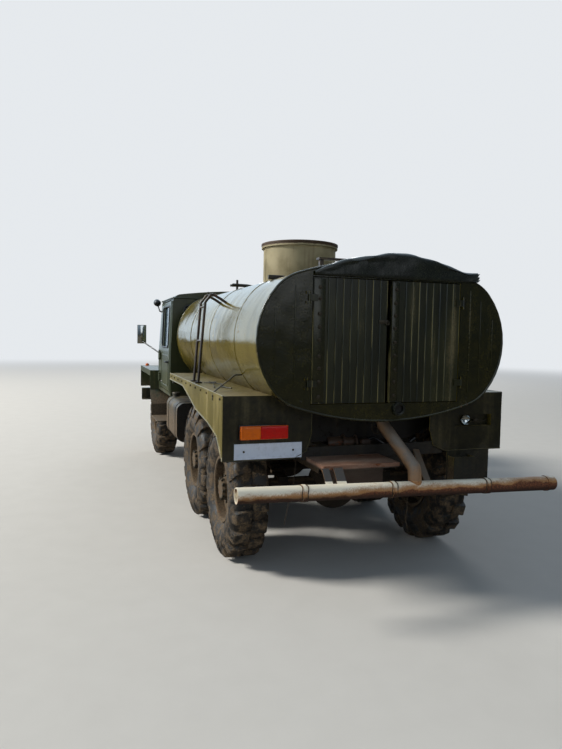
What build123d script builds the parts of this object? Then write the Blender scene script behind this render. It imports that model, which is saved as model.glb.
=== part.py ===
from build123d import *
import math
import os

# A six-wheel-drive tanker truck with a bonneted cab. All sizes are in millimetres.
# +Z is up, the front of the truck faces -Y, and its left side is +X.
# The origin is on the ground, under the middle of the truck.

os.makedirs("parts", exist_ok=True)

# Whole truck
half_span = 1340
front_overhang = 1075
rear_overhang = 1255
wheelbase = 3350
bogie_gap = 120
track = 1820
tyre_radius = 565
fit_gap = 0.3
running_gap = 0.05
swing_gap = 10

bogie_pitch = 2 * tyre_radius + bogie_gap
overall_length = front_overhang + wheelbase + bogie_pitch + rear_overhang
front_y = -overall_length / 2
rear_y = overall_length / 2
front_axle_y = front_y + front_overhang
mid_axle_y = front_axle_y + wheelbase
rear_axle_y = mid_axle_y + bogie_pitch
bogie_y = (mid_axle_y + rear_axle_y) / 2

# Wheels
tyre_width = 320
carcass_radius = 538
shoulder_radius = 442
sidewall_radius = 415
bead_radius = 282
shoulder_half = 118
lug_count = 18
lug_width = 98
lug_slant = 12
lug_inner = 6
lug_reach = 152
lug_top_reach = lug_reach - 30
rim_radius = 254
rim_flange_radius = 278
rim_width = 230
rim_wall = 8
rim_flange = 10
wheel_disc_offset = 40
wheel_disc = 12
hub_radius = 110
hub_inner_end = -20
hub_outer_end = 130
hub_cap = 10
drum_radius = 215
drum_wall = 15
drum_inner_end = -60
hand_hole_circle = 174
hand_hole_radius = 20
hand_hole_count = 8
spindle_radius = 60
backing_radius = 190
backing_plate = 8
axle_z = tyre_radius

# Ladder frame
frame_width = 865
frame_top = 1030
rail_height = 214
rail_flange = 80
rail_web = 8
rail_front_y = front_axle_y - 980
rail_rear_y = rear_axle_y + 700
frame_bottom = frame_top - rail_height
cross_height = 150
cross_depth = 80

# Tank body
tank_half_width = 1010
tank_half_height = 585
tank_corner_radius = 345
tank_corner_x = 610
tank_corner_z = 145
tank_z = 1835
tank_front_y = front_axle_y + 1950
cabinet_front_y = rear_axle_y + 300
cabinet_rear_y = rear_axle_y + 950
cabinet_wall = 22

# Cabinet doors
door_span = 610
cabinet_door_low = 1380
cabinet_door_high = 2290
cabinet_door_thickness = 30
door_middle_gap = 36

# Filler neck
neck_y = mid_axle_y + 250
neck_radius = 372
neck_wall = 12
neck_top = 2790
neck_rim_radius = 392
neck_rim_height = 30
lid_thickness = 16

# Cab
cab_front_y = front_axle_y + 500
cab_rear_y = front_axle_y + 1720
cab_half_width = 1055
roof_half_width = 1025
cab_bottom = 1060
waist_z = 1640
roof_edge_z = 2370
roof_z = 2450
roof_round = 110
cab_wall = 36
glass_inset = 15
glass_thickness = 6
windscreen_rake = 170
cab_door_front_y = front_axle_y + 720
cab_door_rear_y = front_axle_y + 1560
cab_door_low = 1115
cab_door_high = 2300
door_window_low = 1690
door_window_high = 2240
door_window_margin = 85

# Bonnet and wings
bonnet_front_y = front_axle_y - 915
bonnet_rear_y = cab_front_y - swing_gap
bonnet_low = 1480
bonnet_sheet = 14
apron_x = frame_width / 2 - 17.5
bonnet_front_half = apron_x + 15
bonnet_rear_half = 520
bonnet_front_top = 1610
bonnet_rear_top = 1700
bonnet_round = 110
wing_top = 1330
wing_outer = 1180
wing_sheet = 10
wing_front_y = front_axle_y - 950
wing_inner = apron_x + 25
step_z = 690
step_inner = 800

# Hinges
hinge_pin_radius = 8
hinge_barrel_radius = 15


def station(y, z=0):
    """Upright plane across the truck: local x is the truck's x, local y is height."""
    return Plane(origin=(0, y, z), x_dir=(1, 0, 0), z_dir=(0, -1, 0))


def side_plane(x):
    """Upright plane along the truck: local x is the truck's y, local y is height."""
    return Plane(origin=(x, 0, 0), x_dir=(0, 1, 0), z_dir=(1, 0, 0))


def block(x, y, z, mode=Mode.ADD):
    """Box between two x, two y and two z values."""
    with Locations(((x[0] + x[1]) / 2, (y[0] + y[1]) / 2, (z[0] + z[1]) / 2)):
        Box(abs(x[1] - x[0]), y[1] - y[0], z[1] - z[0], mode=mode)


def side_block(side, x, y, z, mode=Mode.ADD):
    """Box at one side of the truck; its two x values count outward from the middle."""
    block((side * x[0], side * x[1]), y, z, mode)


def flat_bar(start, end, width, thickness):
    """Straight flat bar between two points, with its width along x as far as it can lie so."""
    run = Vector(*end) - Vector(*start)
    with BuildSketch(Plane(origin=start, x_dir=Vector(1, 0, 0).cross(run).cross(-run), z_dir=run)) as section:
        Rectangle(width, thickness)
    extrude(section.sketch, amount=run.length)


def rod(start, end, radius, mode=Mode.ADD):
    """Round bar between two points."""
    run = Vector(*end) - Vector(*start)
    with BuildSketch(Plane(origin=start, z_dir=run)) as disc:
        Circle(radius)
    extrude(disc.sketch, amount=run.length, mode=mode)


def strip(points, thickness):
    """Closed outline of a bent sheet: the points and their copies, set off to the right."""
    inner = []
    for i, (u, v) in enumerate(points):
        before = points[max(i - 1, 0)]
        after = points[min(i + 1, len(points) - 1)]
        first = Vector(u - before[0], v - before[1])
        second = Vector(after[0] - u, after[1] - v)
        first = first.normalized() if first.length else second.normalized()
        second = second.normalized() if second.length else first
        middle = (first + second).normalized()
        reach = thickness / (middle.X * first.X + middle.Y * first.Y)
        inner.append((u + middle.Y * reach, v - middle.X * reach))
    return points + inner[::-1]


def keep(piece, name):
    piece.part.label = name
    export_step(piece.part, f"parts/{name}.step")


# Ladder frame rails
with BuildPart() as frame_rails:
    for side in (-1, 1):
        with BuildSketch(station(rail_front_y)):
            with Locations((side * (frame_width - rail_flange) / 2, frame_top - rail_height / 2)):
                Rectangle(rail_flange, rail_height)
            with Locations((side * ((frame_width - rail_flange) / 2 - rail_web), frame_top - rail_height / 2)):
                Rectangle(rail_flange, rail_height - 2 * rail_web, mode=Mode.SUBTRACT)
        extrude(amount=rail_front_y - rail_rear_y)
keep(frame_rails, "frame_rails")

# Crossmembers between the rail webs
cross_stations = (
    front_axle_y - 850, front_axle_y + 1180, front_axle_y + 1850, mid_axle_y - 600, rear_axle_y + 150, rear_axle_y + 660,
)
cross_half = frame_width / 2 - rail_web
beam_depth = 30
cross_low = frame_bottom + rail_web + 20
with BuildPart() as crossmembers:
    for y in cross_stations:
        block((-cross_half, cross_half), (y - cross_depth / 2, y + cross_depth / 2), (cross_low, cross_low + cross_height))
    block((-640, 590), (rail_rear_y, rail_rear_y + beam_depth), (935, frame_top))
keep(crossmembers, "crossmembers")

# Front bumper with two tow eyes
bumper_half = 1150
bumper_low = 740
bumper_high = 940
bumper_sheet = 12
eye_x = 390
eye_thickness = 26
eye_hole_radius = 22
eye_z = bumper_high + 45
eye_y = front_y + 50
with BuildPart() as bumper:
    with BuildSketch(side_plane(-bumper_half)):
        Polygon(*strip([(rail_front_y, bumper_low), (front_y, bumper_low), (front_y, bumper_high), (rail_front_y, bumper_high)], bumper_sheet), align=None)
    extrude(amount=2 * bumper_half)
    for side in (-1, 1):
        block((side * (eye_x - 60), side * (eye_x + 42)), (rail_front_y - bumper_sheet, rail_front_y), (bumper_low + bumper_sheet, bumper_high - bumper_sheet))
        with BuildSketch(side_plane(side * eye_x - eye_thickness / 2)):
            with Locations((eye_y, eye_z)):
                Circle(45)
            with Locations((eye_y, (bumper_high + eye_z) / 2)):
                Rectangle(90, eye_z - bumper_high)
            with Locations((eye_y, eye_z)):
                Circle(eye_hole_radius, mode=Mode.SUBTRACT)
        extrude(amount=eye_thickness)
keep(bumper, "bumper")

# Axles: the front one ends in steering balls, the two rear ones in spindles
kingpin_x = 740
kingpin_radius = 22
ball_radius = 95
knuckle_wall = 25
knuckle_gap = 5
knuckle_radius = ball_radius + knuckle_gap + knuckle_wall
axle_tube_radius = 65
axle_neck_radius = 45
banjo_radius = 235
banjo_half = 130
pinion_radius = 75
pinion_reach = 400
pinion_rise = 140
front_pinion_rise = 55
spring_x = 395
spring_width = 75
axle_pad = 15
rear_spring_x = 500
rear_spring_width = 90
spindle_end = track / 2 + hub_outer_end - hub_cap - 2
backing_x = track / 2 + drum_inner_end - 10 - backing_plate

axles_table = (
    # y, front axle, pinion rise, pinion front end, pinion rear end
    (front_axle_y, True, front_pinion_rise, 0, pinion_reach),
    (mid_axle_y, False, pinion_rise, -pinion_reach, 260),
    (rear_axle_y, False, pinion_rise, -pinion_reach, 0),
)
with BuildPart() as axles:
    for y, steered, rise, pinion_start, pinion_end in axles_table:
        with BuildSketch(Plane(origin=(0, y, axle_z), x_dir=(0, 1, 0), z_dir=(1, 0, 0))):
            with BuildLine():
                Polyline((-banjo_half, 0), (-banjo_half, 90), (-35, banjo_radius), (35, banjo_radius), (banjo_half, 90), (banjo_half, 0), close=True)
            make_face()
        revolve(axis=Axis((0, y, axle_z), (0, 1, 0)))
        rod((0, y + pinion_start, axle_z + rise), (0, y + pinion_end, axle_z + rise), pinion_radius)
        for side in (-1, 1):
            if steered:
                rod((0, y, axle_z), (side * (kingpin_x - 130), y, axle_z), axle_tube_radius)
                rod((side * (kingpin_x - 130), y, axle_z), (side * kingpin_x, y, axle_z), axle_neck_radius)
                with Locations((side * kingpin_x, y, axle_z)):
                    Sphere(ball_radius)
                    Cylinder(kingpin_radius, 2 * knuckle_radius)
                pad = (side * (spring_x - spring_width / 2), side * (spring_x + spring_width / 2))
            else:
                rod((0, y, axle_z), (side * (backing_x + 4), y, axle_z), axle_tube_radius)
                rod((side * backing_x, y, axle_z), (side * spindle_end, y, axle_z), spindle_radius)
                rod((side * backing_x, y, axle_z), (side * (backing_x + backing_plate), y, axle_z), backing_radius)
                pad = (side * (rear_spring_x - rear_spring_width / 2), side * (rear_spring_x + rear_spring_width / 2))
            block(pad, (y - 60, y + 60), (axle_z, axle_z + axle_tube_radius + axle_pad))
keep(axles, "axles")

# Steering knuckles with their spindles, backing plates and arms
arm_length = 190
arm_top = axle_z - 70
arm_thickness = 25
arm_eye_radius = 28


def ball_point(radius, distance):
    """Point on a ball's outline at a distance outward from the kingpin."""
    return (distance, math.sqrt(radius**2 - distance**2))


cup_edge = -45
cup_radius = ball_radius + knuckle_gap
plate_near = backing_x - kingpin_x
plate_far = plate_near + backing_plate
spindle_start = math.sqrt(knuckle_radius**2 - spindle_radius**2)
spindle_reach = spindle_end - kingpin_x
for side, name in ((1, "left"), (-1, "right")):
    knuckle_plane = Plane(origin=(side * kingpin_x, front_axle_y, axle_z), x_dir=(side, 0, 0), z_dir=(0, -side, 0))
    with BuildPart() as knuckle:
        with BuildSketch(knuckle_plane):
            with BuildLine():
                Polyline(
                    (cup_radius, 0), (spindle_reach, 0), (spindle_reach, spindle_radius), ball_point(knuckle_radius, spindle_start),
                )
                ThreePointArc(
                    ball_point(knuckle_radius, spindle_start), ball_point(knuckle_radius, (spindle_start + plate_far) / 2), ball_point(knuckle_radius, plate_far),
                )
                Polyline(
                    ball_point(knuckle_radius, plate_far), (plate_far, backing_radius), (plate_near, backing_radius), ball_point(knuckle_radius, plate_near),
                )
                ThreePointArc(ball_point(knuckle_radius, plate_near), (0, knuckle_radius), ball_point(knuckle_radius, cup_edge))
                Line(ball_point(knuckle_radius, cup_edge), ball_point(cup_radius, cup_edge))
                ThreePointArc(ball_point(cup_radius, cup_edge), (0, cup_radius), (cup_radius, 0))
            make_face()
        revolve(axis=Axis((side * kingpin_x, front_axle_y, axle_z), (1, 0, 0)))
        block((side * (kingpin_x - 40), side * kingpin_x), (front_axle_y + 75, front_axle_y + arm_length), (arm_top - arm_thickness, arm_top))
        rod((side * (kingpin_x - 20), front_axle_y + arm_length, arm_top - arm_thickness), (side * (kingpin_x - 20), front_axle_y + arm_length, arm_top), arm_eye_radius)
        with Locations((side * kingpin_x, front_axle_y, axle_z)):
            Cylinder(kingpin_radius + running_gap, 3 * knuckle_radius, mode=Mode.SUBTRACT)
    keep(knuckle, f"knuckle_{name}")

# Tie rod that lies on the knuckle arms
tie_rod_radius = 15
tie_eye_thickness = 24
tie_z = arm_top + fit_gap
with BuildPart() as tie_rod:
    rod((-(kingpin_x - 20), front_axle_y + arm_length, tie_z + tie_rod_radius), (kingpin_x - 20, front_axle_y + arm_length, tie_z + tie_rod_radius), tie_rod_radius)
    for side in (-1, 1):
        rod((side * (kingpin_x - 20), front_axle_y + arm_length, tie_z), (side * (kingpin_x - 20), front_axle_y + arm_length, tie_z + tie_eye_thickness), arm_eye_radius)
keep(tie_rod, "tie_rod")

# Springs, the bogie's trunnion tube and their brackets
leaf_thickness = 10
front_leaves = 7
front_spring_half = 600
front_spring_camber = 70
rear_leaf_thickness = 12
rear_leaves = 8
rear_spring_camber = 55
trunnion_z = 600
trunnion_radius = 55
trunnion_hub = 95


def leaf(centre_y, centre_z, radius, thickness, half_length, upright):
    """One curved leaf as an arc band; upright is 1 where the ends point up, -1 where they point down."""
    half_angle = math.degrees(half_length / radius)
    middle = 270 if upright > 0 else 90
    inner = CenterArc((centre_y, centre_z), radius, middle - half_angle, 2 * half_angle)
    outer = CenterArc((centre_y, centre_z), radius + thickness, middle - half_angle, 2 * half_angle)
    Line(inner @ 0, outer @ 0)
    Line(inner @ 1, outer @ 1)


front_spring_radius = (front_spring_half**2 + front_spring_camber**2) / (2 * front_spring_camber)
front_pack_low = axle_z + axle_tube_radius + axle_pad + fit_gap
front_pack_top = front_pack_low + front_leaves * leaf_thickness
rear_spring_half = bogie_pitch / 2 + 30
rear_pack_low = axle_z + axle_tube_radius + axle_pad + fit_gap + rear_spring_camber
bolt_radius = 9
front_plate_z = axle_z - axle_tube_radius - 3
rear_spring_radius = (rear_spring_half**2 + rear_spring_camber**2) / (2 * rear_spring_camber)
with BuildPart() as springs:
    for side in (-1, 1):
        for i in range(front_leaves):
            with BuildSketch(side_plane(side * spring_x - spring_width / 2)):
                with BuildLine():
                    leaf(front_axle_y, front_pack_top + front_spring_radius, front_spring_radius + i * leaf_thickness, leaf_thickness, front_spring_half * (1 - 0.75 * i / (front_leaves - 1)), 1)
                make_face()
            extrude(amount=spring_width)
        for i in range(rear_leaves):
            with BuildSketch(side_plane(side * rear_spring_x - rear_spring_width / 2)):
                with BuildLine():
                    leaf(bogie_y, rear_pack_low - rear_spring_radius, rear_spring_radius + i * rear_leaf_thickness, rear_leaf_thickness, rear_spring_half * (1 - 0.75 * i / (rear_leaves - 1)), -1)
                make_face()
            extrude(amount=rear_spring_width)
        for end in (-1, 1):
            eye_y_spring = front_axle_y + end * front_spring_half
            block((side * (spring_x - spring_width / 2), side * (spring_x + spring_width / 2)), (eye_y_spring - 40, eye_y_spring + 40), (frame_bottom - 60, frame_bottom))
        side_block(side, (frame_width / 2 - rail_flange, frame_width / 2), (bogie_y - 150, bogie_y + 150), (trunnion_z - 40, frame_bottom))
        for x, width, seat_y, reach, top, foot in (
            (spring_x, spring_width, front_axle_y, axle_tube_radius + bolt_radius + 3, front_pack_top, front_plate_z),
            (rear_spring_x, rear_spring_width, bogie_y, 65, rear_pack_low + rear_leaves * rear_leaf_thickness, trunnion_z),
        ):
            legs = (side * (x - width / 2 - bolt_radius - 1), side * (x + width / 2 + bolt_radius + 1))
            for bolt_y in (seat_y - reach, seat_y + reach):
                for leg_x in legs:
                    rod((leg_x, bolt_y, foot), (leg_x, bolt_y, top + bolt_radius), bolt_radius)
                rod((legs[0], bolt_y, top + bolt_radius), (legs[1], bolt_y, top + bolt_radius), bolt_radius)
        side_block(
            side, (spring_x - spring_width / 2 - 30, spring_x + spring_width / 2 + 30),
            (front_axle_y - 90, front_axle_y + 90), (front_plate_z - 14, front_plate_z + 2),
        )
        rod((side * (frame_width / 2 - rail_flange - 5), bogie_y, trunnion_z), (side * (rear_spring_x + 70), bogie_y, trunnion_z), trunnion_hub)
        block((side * (rear_spring_x - rear_spring_width / 2), side * (rear_spring_x + rear_spring_width / 2)), (bogie_y - 80, bogie_y + 80), (trunnion_z, rear_pack_low + 3))
    rod((-rear_spring_x, bogie_y, trunnion_z), (rear_spring_x, bogie_y, trunnion_z), trunnion_radius)
keep(springs, "springs")

# Engine and gearbox as one plain block
engine_front_y = front_axle_y - 750
engine_rear_y = front_axle_y + 250
gearbox_rear_y = front_axle_y + 950
gearbox_half = 170
with BuildPart() as engine:
    block((-300, 300), (engine_front_y, engine_rear_y), (840, 1440))
    block((-gearbox_half, gearbox_half), (engine_rear_y, gearbox_rear_y), (700, 1040))
    for side in (-1, 1):
        block((side * 300, side * (frame_width / 2 - rail_web)), (front_axle_y - 300, front_axle_y - 200), (900, 960))
keep(engine, "engine")

# Transfer case and propeller shafts
shaft_radius = 38
joint_radius = 60
transfer_front_y = front_axle_y + 1220
transfer_rear_y = front_axle_y + 1810
gearbox_shaft_z = 780
shafts = (
    # start y, end y, height
    (gearbox_rear_y, transfer_front_y, gearbox_shaft_z),
    (front_axle_y + pinion_reach, transfer_front_y, axle_z + front_pinion_rise),
    (transfer_rear_y, mid_axle_y - pinion_reach, axle_z + pinion_rise),
    (mid_axle_y + 260, rear_axle_y - pinion_reach, axle_z + pinion_rise),
)
with BuildPart() as driveline:
    block((-180, 180), (transfer_front_y, transfer_rear_y), (560, 960))
    for start_y, end_y, height in shafts:
        rod((0, start_y, height), (0, end_y, height), shaft_radius)
        rod((0, start_y, height), (0, start_y + 70, height), joint_radius)
        rod((0, end_y - 70, height), (0, end_y, height), joint_radius)
keep(driveline, "driveline")



def lug_top():
    """Height of the lugs' flat tops, such that the lowest corner of all touches the ground."""
    slant = math.radians(lug_slant)
    half_step = math.pi / lug_count
    around = lug_width / 2 * math.cos(slant) + (lug_top_reach - lug_inner) / 2 * math.sin(slant)
    return (tyre_radius - around * math.sin(half_step)) / math.cos(half_step)


def lug_plane(side, place):
    """Upright plane through the axle's middle along one lug: local x points outward, local y to its top."""
    turn = math.tau * (place + (0 if side > 0 else 0.5)) / lug_count
    up = Vector(0, math.sin(turn), math.cos(turn))
    around = Vector(0, math.cos(turn), -math.sin(turn))
    slant = math.radians(lug_slant)
    out = Vector(side, 0, 0) * math.cos(slant) + around * math.sin(slant)
    middle = around * (lug_inner + lug_top_reach) / 2 * math.sin(slant)
    return Plane(origin=Vector(0, 0, 0) - middle, x_dir=out, z_dir=out.cross(up))


def tyre_form():
    """A tyre about the x axis: a carcass with one flat facet for each lug, and two rows of lugs."""
    tyre_half = tyre_width / 2
    bead_half = rim_width / 2 - fit_gap
    with BuildPart() as form:
        with BuildSketch(Plane.YZ.offset(-tyre_half)):
            RegularPolygon(carcass_radius, lug_count, major_radius=False, rotation=180 / lug_count)
            RegularPolygon(bead_radius, lug_count, major_radius=False, rotation=180 / lug_count, mode=Mode.SUBTRACT)
        extrude(amount=2 * tyre_half)
        for end in (0, -1):
            side_wall = faces().sort_by(Axis.X)[end]
            chamfer(
                side_wall.outer_wire().edges(), length=carcass_radius - shoulder_radius,
                length2=tyre_half - shoulder_half, reference=side_wall,
            )
            side_wall = faces().sort_by(Axis.X)[end]
            chamfer(
                side_wall.inner_wires()[0].edges(), length=sidewall_radius - bead_radius,
                length2=tyre_half - bead_half, reference=side_wall,
            )
        with BuildSketch(Plane.YZ.offset(-bead_half)):
            RegularPolygon(bead_radius + 1, lug_count, major_radius=False, rotation=180 / lug_count)
            RegularPolygon(rim_radius + fit_gap, lug_count, major_radius=False, rotation=180 / lug_count, mode=Mode.SUBTRACT)
        extrude(amount=2 * bead_half)
        with BuildSketch(*[lug_plane(side, place) for side in (1, -1) for place in range(lug_count)]):
            Polygon(
                (lug_inner, carcass_radius - 40), (lug_inner, lug_top()), (lug_top_reach, lug_top()),
                (lug_reach, shoulder_radius + 26), (lug_top_reach, shoulder_radius), align=None,
            )
        extrude(amount=lug_width / 2, both=True)
    return form.part


# Wheels: rim, disc, hub and drum turned as one, and the tyre on it
lugged_tyre = tyre_form()
wheels = (
    # name, side, y
    ("front_left", 1, front_axle_y),
    ("front_right", -1, front_axle_y),
    ("mid_left", 1, mid_axle_y),
    ("mid_right", -1, mid_axle_y),
    ("rear_left", 1, rear_axle_y),
    ("rear_right", -1, rear_axle_y),
)
for name, side, y in wheels:
    wheel_plane = Plane(origin=(side * track / 2, y, axle_z), x_dir=(side, 0, 0), z_dir=(0, -side, 0))
    wheel_axis = Axis((side * track / 2, y, axle_z), (1, 0, 0))
    rim_half = rim_width / 2
    bore = spindle_radius + running_gap
    with BuildPart() as rim:
        with BuildSketch(wheel_plane):
            with BuildLine():
                Polyline(
                    (hub_inner_end, bore), (hub_outer_end - hub_cap, bore), (hub_outer_end - hub_cap, 0),
                    (hub_outer_end, 0), (hub_outer_end, 75), (hub_outer_end - 20, 90),
                    (wheel_disc_offset + wheel_disc, hub_radius), (wheel_disc_offset + wheel_disc, rim_radius - rim_wall),
                    (rim_half, rim_radius - rim_wall), (rim_half + rim_flange, rim_radius), (rim_half + rim_flange, rim_flange_radius),
                    (rim_half, rim_flange_radius), (rim_half, rim_radius), (-rim_half, rim_radius),
                    (-rim_half, rim_flange_radius), (-rim_half - rim_flange, rim_flange_radius), (-rim_half - rim_flange, rim_radius),
                    (-rim_half, rim_radius - rim_wall), (wheel_disc_offset, rim_radius - rim_wall),
                    (wheel_disc_offset, drum_radius), (drum_inner_end, drum_radius), (drum_inner_end, drum_radius - drum_wall),
                    (wheel_disc_offset - wheel_disc, drum_radius - drum_wall), (wheel_disc_offset - wheel_disc, hub_radius),
                    (hub_inner_end, hub_radius), close=True,
                )
            make_face()
        revolve(axis=wheel_axis)
        with Locations(Plane(origin=(side * (track / 2 + wheel_disc_offset), y, axle_z), z_dir=(1, 0, 0))):
            with PolarLocations(hand_hole_circle, hand_hole_count):
                Cylinder(hand_hole_radius, 4 * wheel_disc, mode=Mode.SUBTRACT)
    keep(rim, f"rim_{name}")
    with BuildPart() as tyre:
        with Locations((side * track / 2, y, axle_z)):
            add(lugged_tyre)
    keep(tyre, f"tyre_{name}")

# Wings with the bonnet's side walls and the running boards
wing_path = [
    (wing_front_y, 980), (wing_front_y, wing_top), (cab_front_y - 5, wing_top), (cab_front_y - 5, 1045),
    (front_axle_y + 660, 850), (front_axle_y + 700, step_z), (front_axle_y + 1320, step_z),
]
bonnet_side_gap = 6


def bonnet_form(inset):
    """The bonnet's outer form down to the wings, set in by a sheet's thickness."""
    with BuildPart() as form:
        for y, half, top in (
            (bonnet_front_y + inset, bonnet_front_half, bonnet_front_top),
            (bonnet_rear_y + (50 if inset else 0), bonnet_rear_half, bonnet_rear_top),
        ):
            low = wing_top - wing_sheet - (50 if inset else 0)
            with BuildSketch(station(y)):
                with BuildLine():
                    Polyline((half - inset, low), (half - inset, top - inset), (inset - half, top - inset), (inset - half, low), close=True)
                make_face()
                fillet(vertices().group_by(Axis.Y)[-1], bonnet_round - inset)
        loft()
    return form.part


bonnet_outer = bonnet_form(0)
bonnet_inner = bonnet_form(bonnet_sheet)
with BuildPart() as wings:
    for side in (-1, 1):
        with BuildSketch(side_plane(side * wing_inner)):
            Polygon(*strip(wing_path, wing_sheet), align=None)
        extrude(amount=side * (wing_outer - wing_inner))
        block((side * apron_x, side * (wing_inner + 1)), (wing_front_y, cab_front_y - 5), (wing_top - wing_sheet, wing_top))
        block((side * (wing_inner - 1), side * step_inner), (front_axle_y + 662, front_axle_y + 1400), (0, 851), mode=Mode.SUBTRACT)
        block((side * (wing_outer - wing_sheet), side * wing_outer), (wing_front_y, cab_front_y - 5), (wing_top - 80, wing_top))
        block((side * apron_x, side * (apron_x + 12)), (wing_front_y + 100, cab_front_y - 60), (frame_top, wing_top - wing_sheet / 2))
with BuildPart() as bonnet_sides:
    add(bonnet_outer)
    add(bonnet_inner, mode=Mode.SUBTRACT)
    block((-2000, 2000), (front_y - 500, rear_y), (wing_top - wing_sheet, bonnet_low - bonnet_side_gap), mode=Mode.INTERSECT)
louvre_count = 7
louvre_pitch = 90
with BuildPart() as wings_whole:
    add(wings.part)
    add(bonnet_sides.part)
    with Locations((0, front_axle_y - 80, (wing_top + bonnet_low) / 2)):
        with GridLocations(1, louvre_pitch, 1, louvre_count):
            Box(3 * wing_outer, 26, 86, mode=Mode.SUBTRACT)
keep(wings_whole, "wings")

# Bonnet with its nose
with BuildPart() as bonnet:
    add(bonnet_outer)
    add(bonnet_inner, mode=Mode.SUBTRACT)
    block((-2000, 2000), (front_y - 500, rear_y), (bonnet_low, 2500), mode=Mode.INTERSECT)
bonnet_hinge_z = bonnet_rear_top + 22
bonnet_hinge_y = bonnet_rear_y - 10
bonnet_hinge_x = 330
with BuildPart() as bonnet_whole:
    add(bonnet.part)
    for side in (-1, 1):
        block((side * (bonnet_hinge_x - 25), side * (bonnet_hinge_x + 25)), (bonnet_hinge_y - 60, bonnet_hinge_y), (bonnet_rear_top - 12, bonnet_hinge_z))
        rod((side * (bonnet_hinge_x - 25), bonnet_hinge_y, bonnet_hinge_z), (side * (bonnet_hinge_x + 25), bonnet_hinge_y, bonnet_hinge_z), 12)
        rod((side * (bonnet_hinge_x - 30), bonnet_hinge_y, bonnet_hinge_z), (side * (bonnet_hinge_x + 30), bonnet_hinge_y, bonnet_hinge_z), 6 + running_gap, mode=Mode.SUBTRACT)
keep(bonnet_whole, "bonnet")

# Grille with upright slots, and a cross panel that ties it to the wings
grille_thickness = 24
grille_low = frame_top + fit_gap
grille_half = apron_x - fit_gap
slot_count = 12
slot_pitch = 60
slot_width = 34
with BuildPart() as grille:
    block((-grille_half, grille_half), (wing_front_y, wing_front_y + grille_thickness), (grille_low, wing_top))
    block((-bonnet_front_half, bonnet_front_half), (wing_front_y, wing_front_y + grille_thickness), (wing_top + fit_gap, bonnet_low - bonnet_side_gap))
    block((-grille_half, grille_half), (wing_front_y + 2, wing_front_y + grille_thickness), (wing_top - 20, wing_top + 20))
    with Locations((0, wing_front_y + grille_thickness / 2, (grille_low + bonnet_low) / 2 - 20)):
        with GridLocations(slot_pitch, 1, slot_count, 1):
            Box(slot_width, 3 * grille_thickness, 380, mode=Mode.SUBTRACT)
    for side in (-1, 1):
        block((side * (grille_half - 70), side * grille_half), (wing_front_y + grille_thickness, wing_front_y + 60), (frame_top, frame_top + 60))
keep(grille, "grille")

# Headlamps set in the wings' front plates
lamp_x = 800
lamp_z = 1160
lamp_radius = 100
lamp_depth = 40
lens_radius = 86
lens_bulge = 14
with BuildPart() as headlamps:
    for side in (-1, 1):
        with BuildSketch(Plane(origin=(side * lamp_x, wing_front_y - fit_gap, lamp_z), x_dir=(1, 0, 0), z_dir=(0, 0, 1))):
            Polygon(
                (0, 0), (lamp_radius, 0), (lamp_radius, 8 - lamp_depth), (lamp_radius - 6, -lamp_depth - 4),
                (lens_radius, -lamp_depth - 4), (lens_radius, -lamp_depth), (lens_radius - 24, -lamp_depth - 0.5 * lens_bulge),
                (lens_radius - 54, -lamp_depth - 0.9 * lens_bulge), (0, -lamp_depth - lens_bulge), align=None,
            )
        revolve(axis=Axis((side * lamp_x, wing_front_y, lamp_z), (0, 1, 0)))
keep(headlamps, "headlamps")


def cab_form(inset):
    """The cab's closed outer form, set in by a wall's thickness."""
    with BuildPart() as form:
        with BuildSketch(station(cab_rear_y - inset)):
            with BuildLine():
                Polyline((-roof_half_width, roof_edge_z), (-cab_half_width, waist_z), (-cab_half_width, cab_bottom), (cab_half_width, cab_bottom), (cab_half_width, waist_z), (roof_half_width, roof_edge_z))
                ThreePointArc((roof_half_width, roof_edge_z), (0, roof_z), (-roof_half_width, roof_edge_z))
            make_face()
            fillet(vertices().sort_by(Axis.Y)[-2:], roof_round)
            if inset:
                offset(amount=-inset)
        extrude(amount=cab_rear_y - cab_front_y - 2 * inset)
        with BuildSketch(side_plane(-cab_half_width)):
            Polygon(
                (cab_front_y + inset, waist_z), (cab_front_y + inset + windscreen_rake, roof_z + 20),
                (cab_front_y - 200, roof_z + 20), (cab_front_y - 200, waist_z), align=None,
            )
        extrude(amount=2 * cab_half_width, mode=Mode.SUBTRACT)
    return form.part


def cab_skin(outer_inset, inner_inset):
    """The cab's whole wall between two insets from its outer form."""
    with BuildPart() as skin:
        add(cab_form(outer_inset))
        add(cab_form(inner_inset), mode=Mode.SUBTRACT)
    return skin.part


windscreen_half = 900
windscreen_low = waist_z + 60
windscreen_high = 2270
rear_window_half = 880
rear_window_low = 1900
rear_window_high = 2240
pillar_y = cab_door_rear_y + swing_gap
header_z = cab_door_high + swing_gap
door_hole_y = (cab_door_front_y - swing_gap, cab_door_rear_y + swing_gap)
door_hole_z = (cab_door_low - swing_gap, cab_door_high + swing_gap)


def cut_openings():
    """Cuts the door holes, the windscreen and the rear window from a piece of the cab's wall."""
    for side in (-1, 1):
        block((side * (cab_half_width - 150), side * (cab_half_width + 100)), door_hole_y, door_hole_z, mode=Mode.SUBTRACT)
    block((-windscreen_half, windscreen_half), (cab_front_y - 50, cab_front_y + 250), (windscreen_low, windscreen_high), mode=Mode.SUBTRACT)
    block((-rear_window_half, rear_window_half), (cab_rear_y - 100, cab_rear_y + 50), (rear_window_low, rear_window_high), mode=Mode.SUBTRACT)


cab_hinge_x = cab_half_width + 20
cab_hinge_y = cab_door_front_y - swing_gap / 2
cab_hinge_heights = (1250, 1560)
mount_pads = ((390, 660), (390, 1600))

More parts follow.
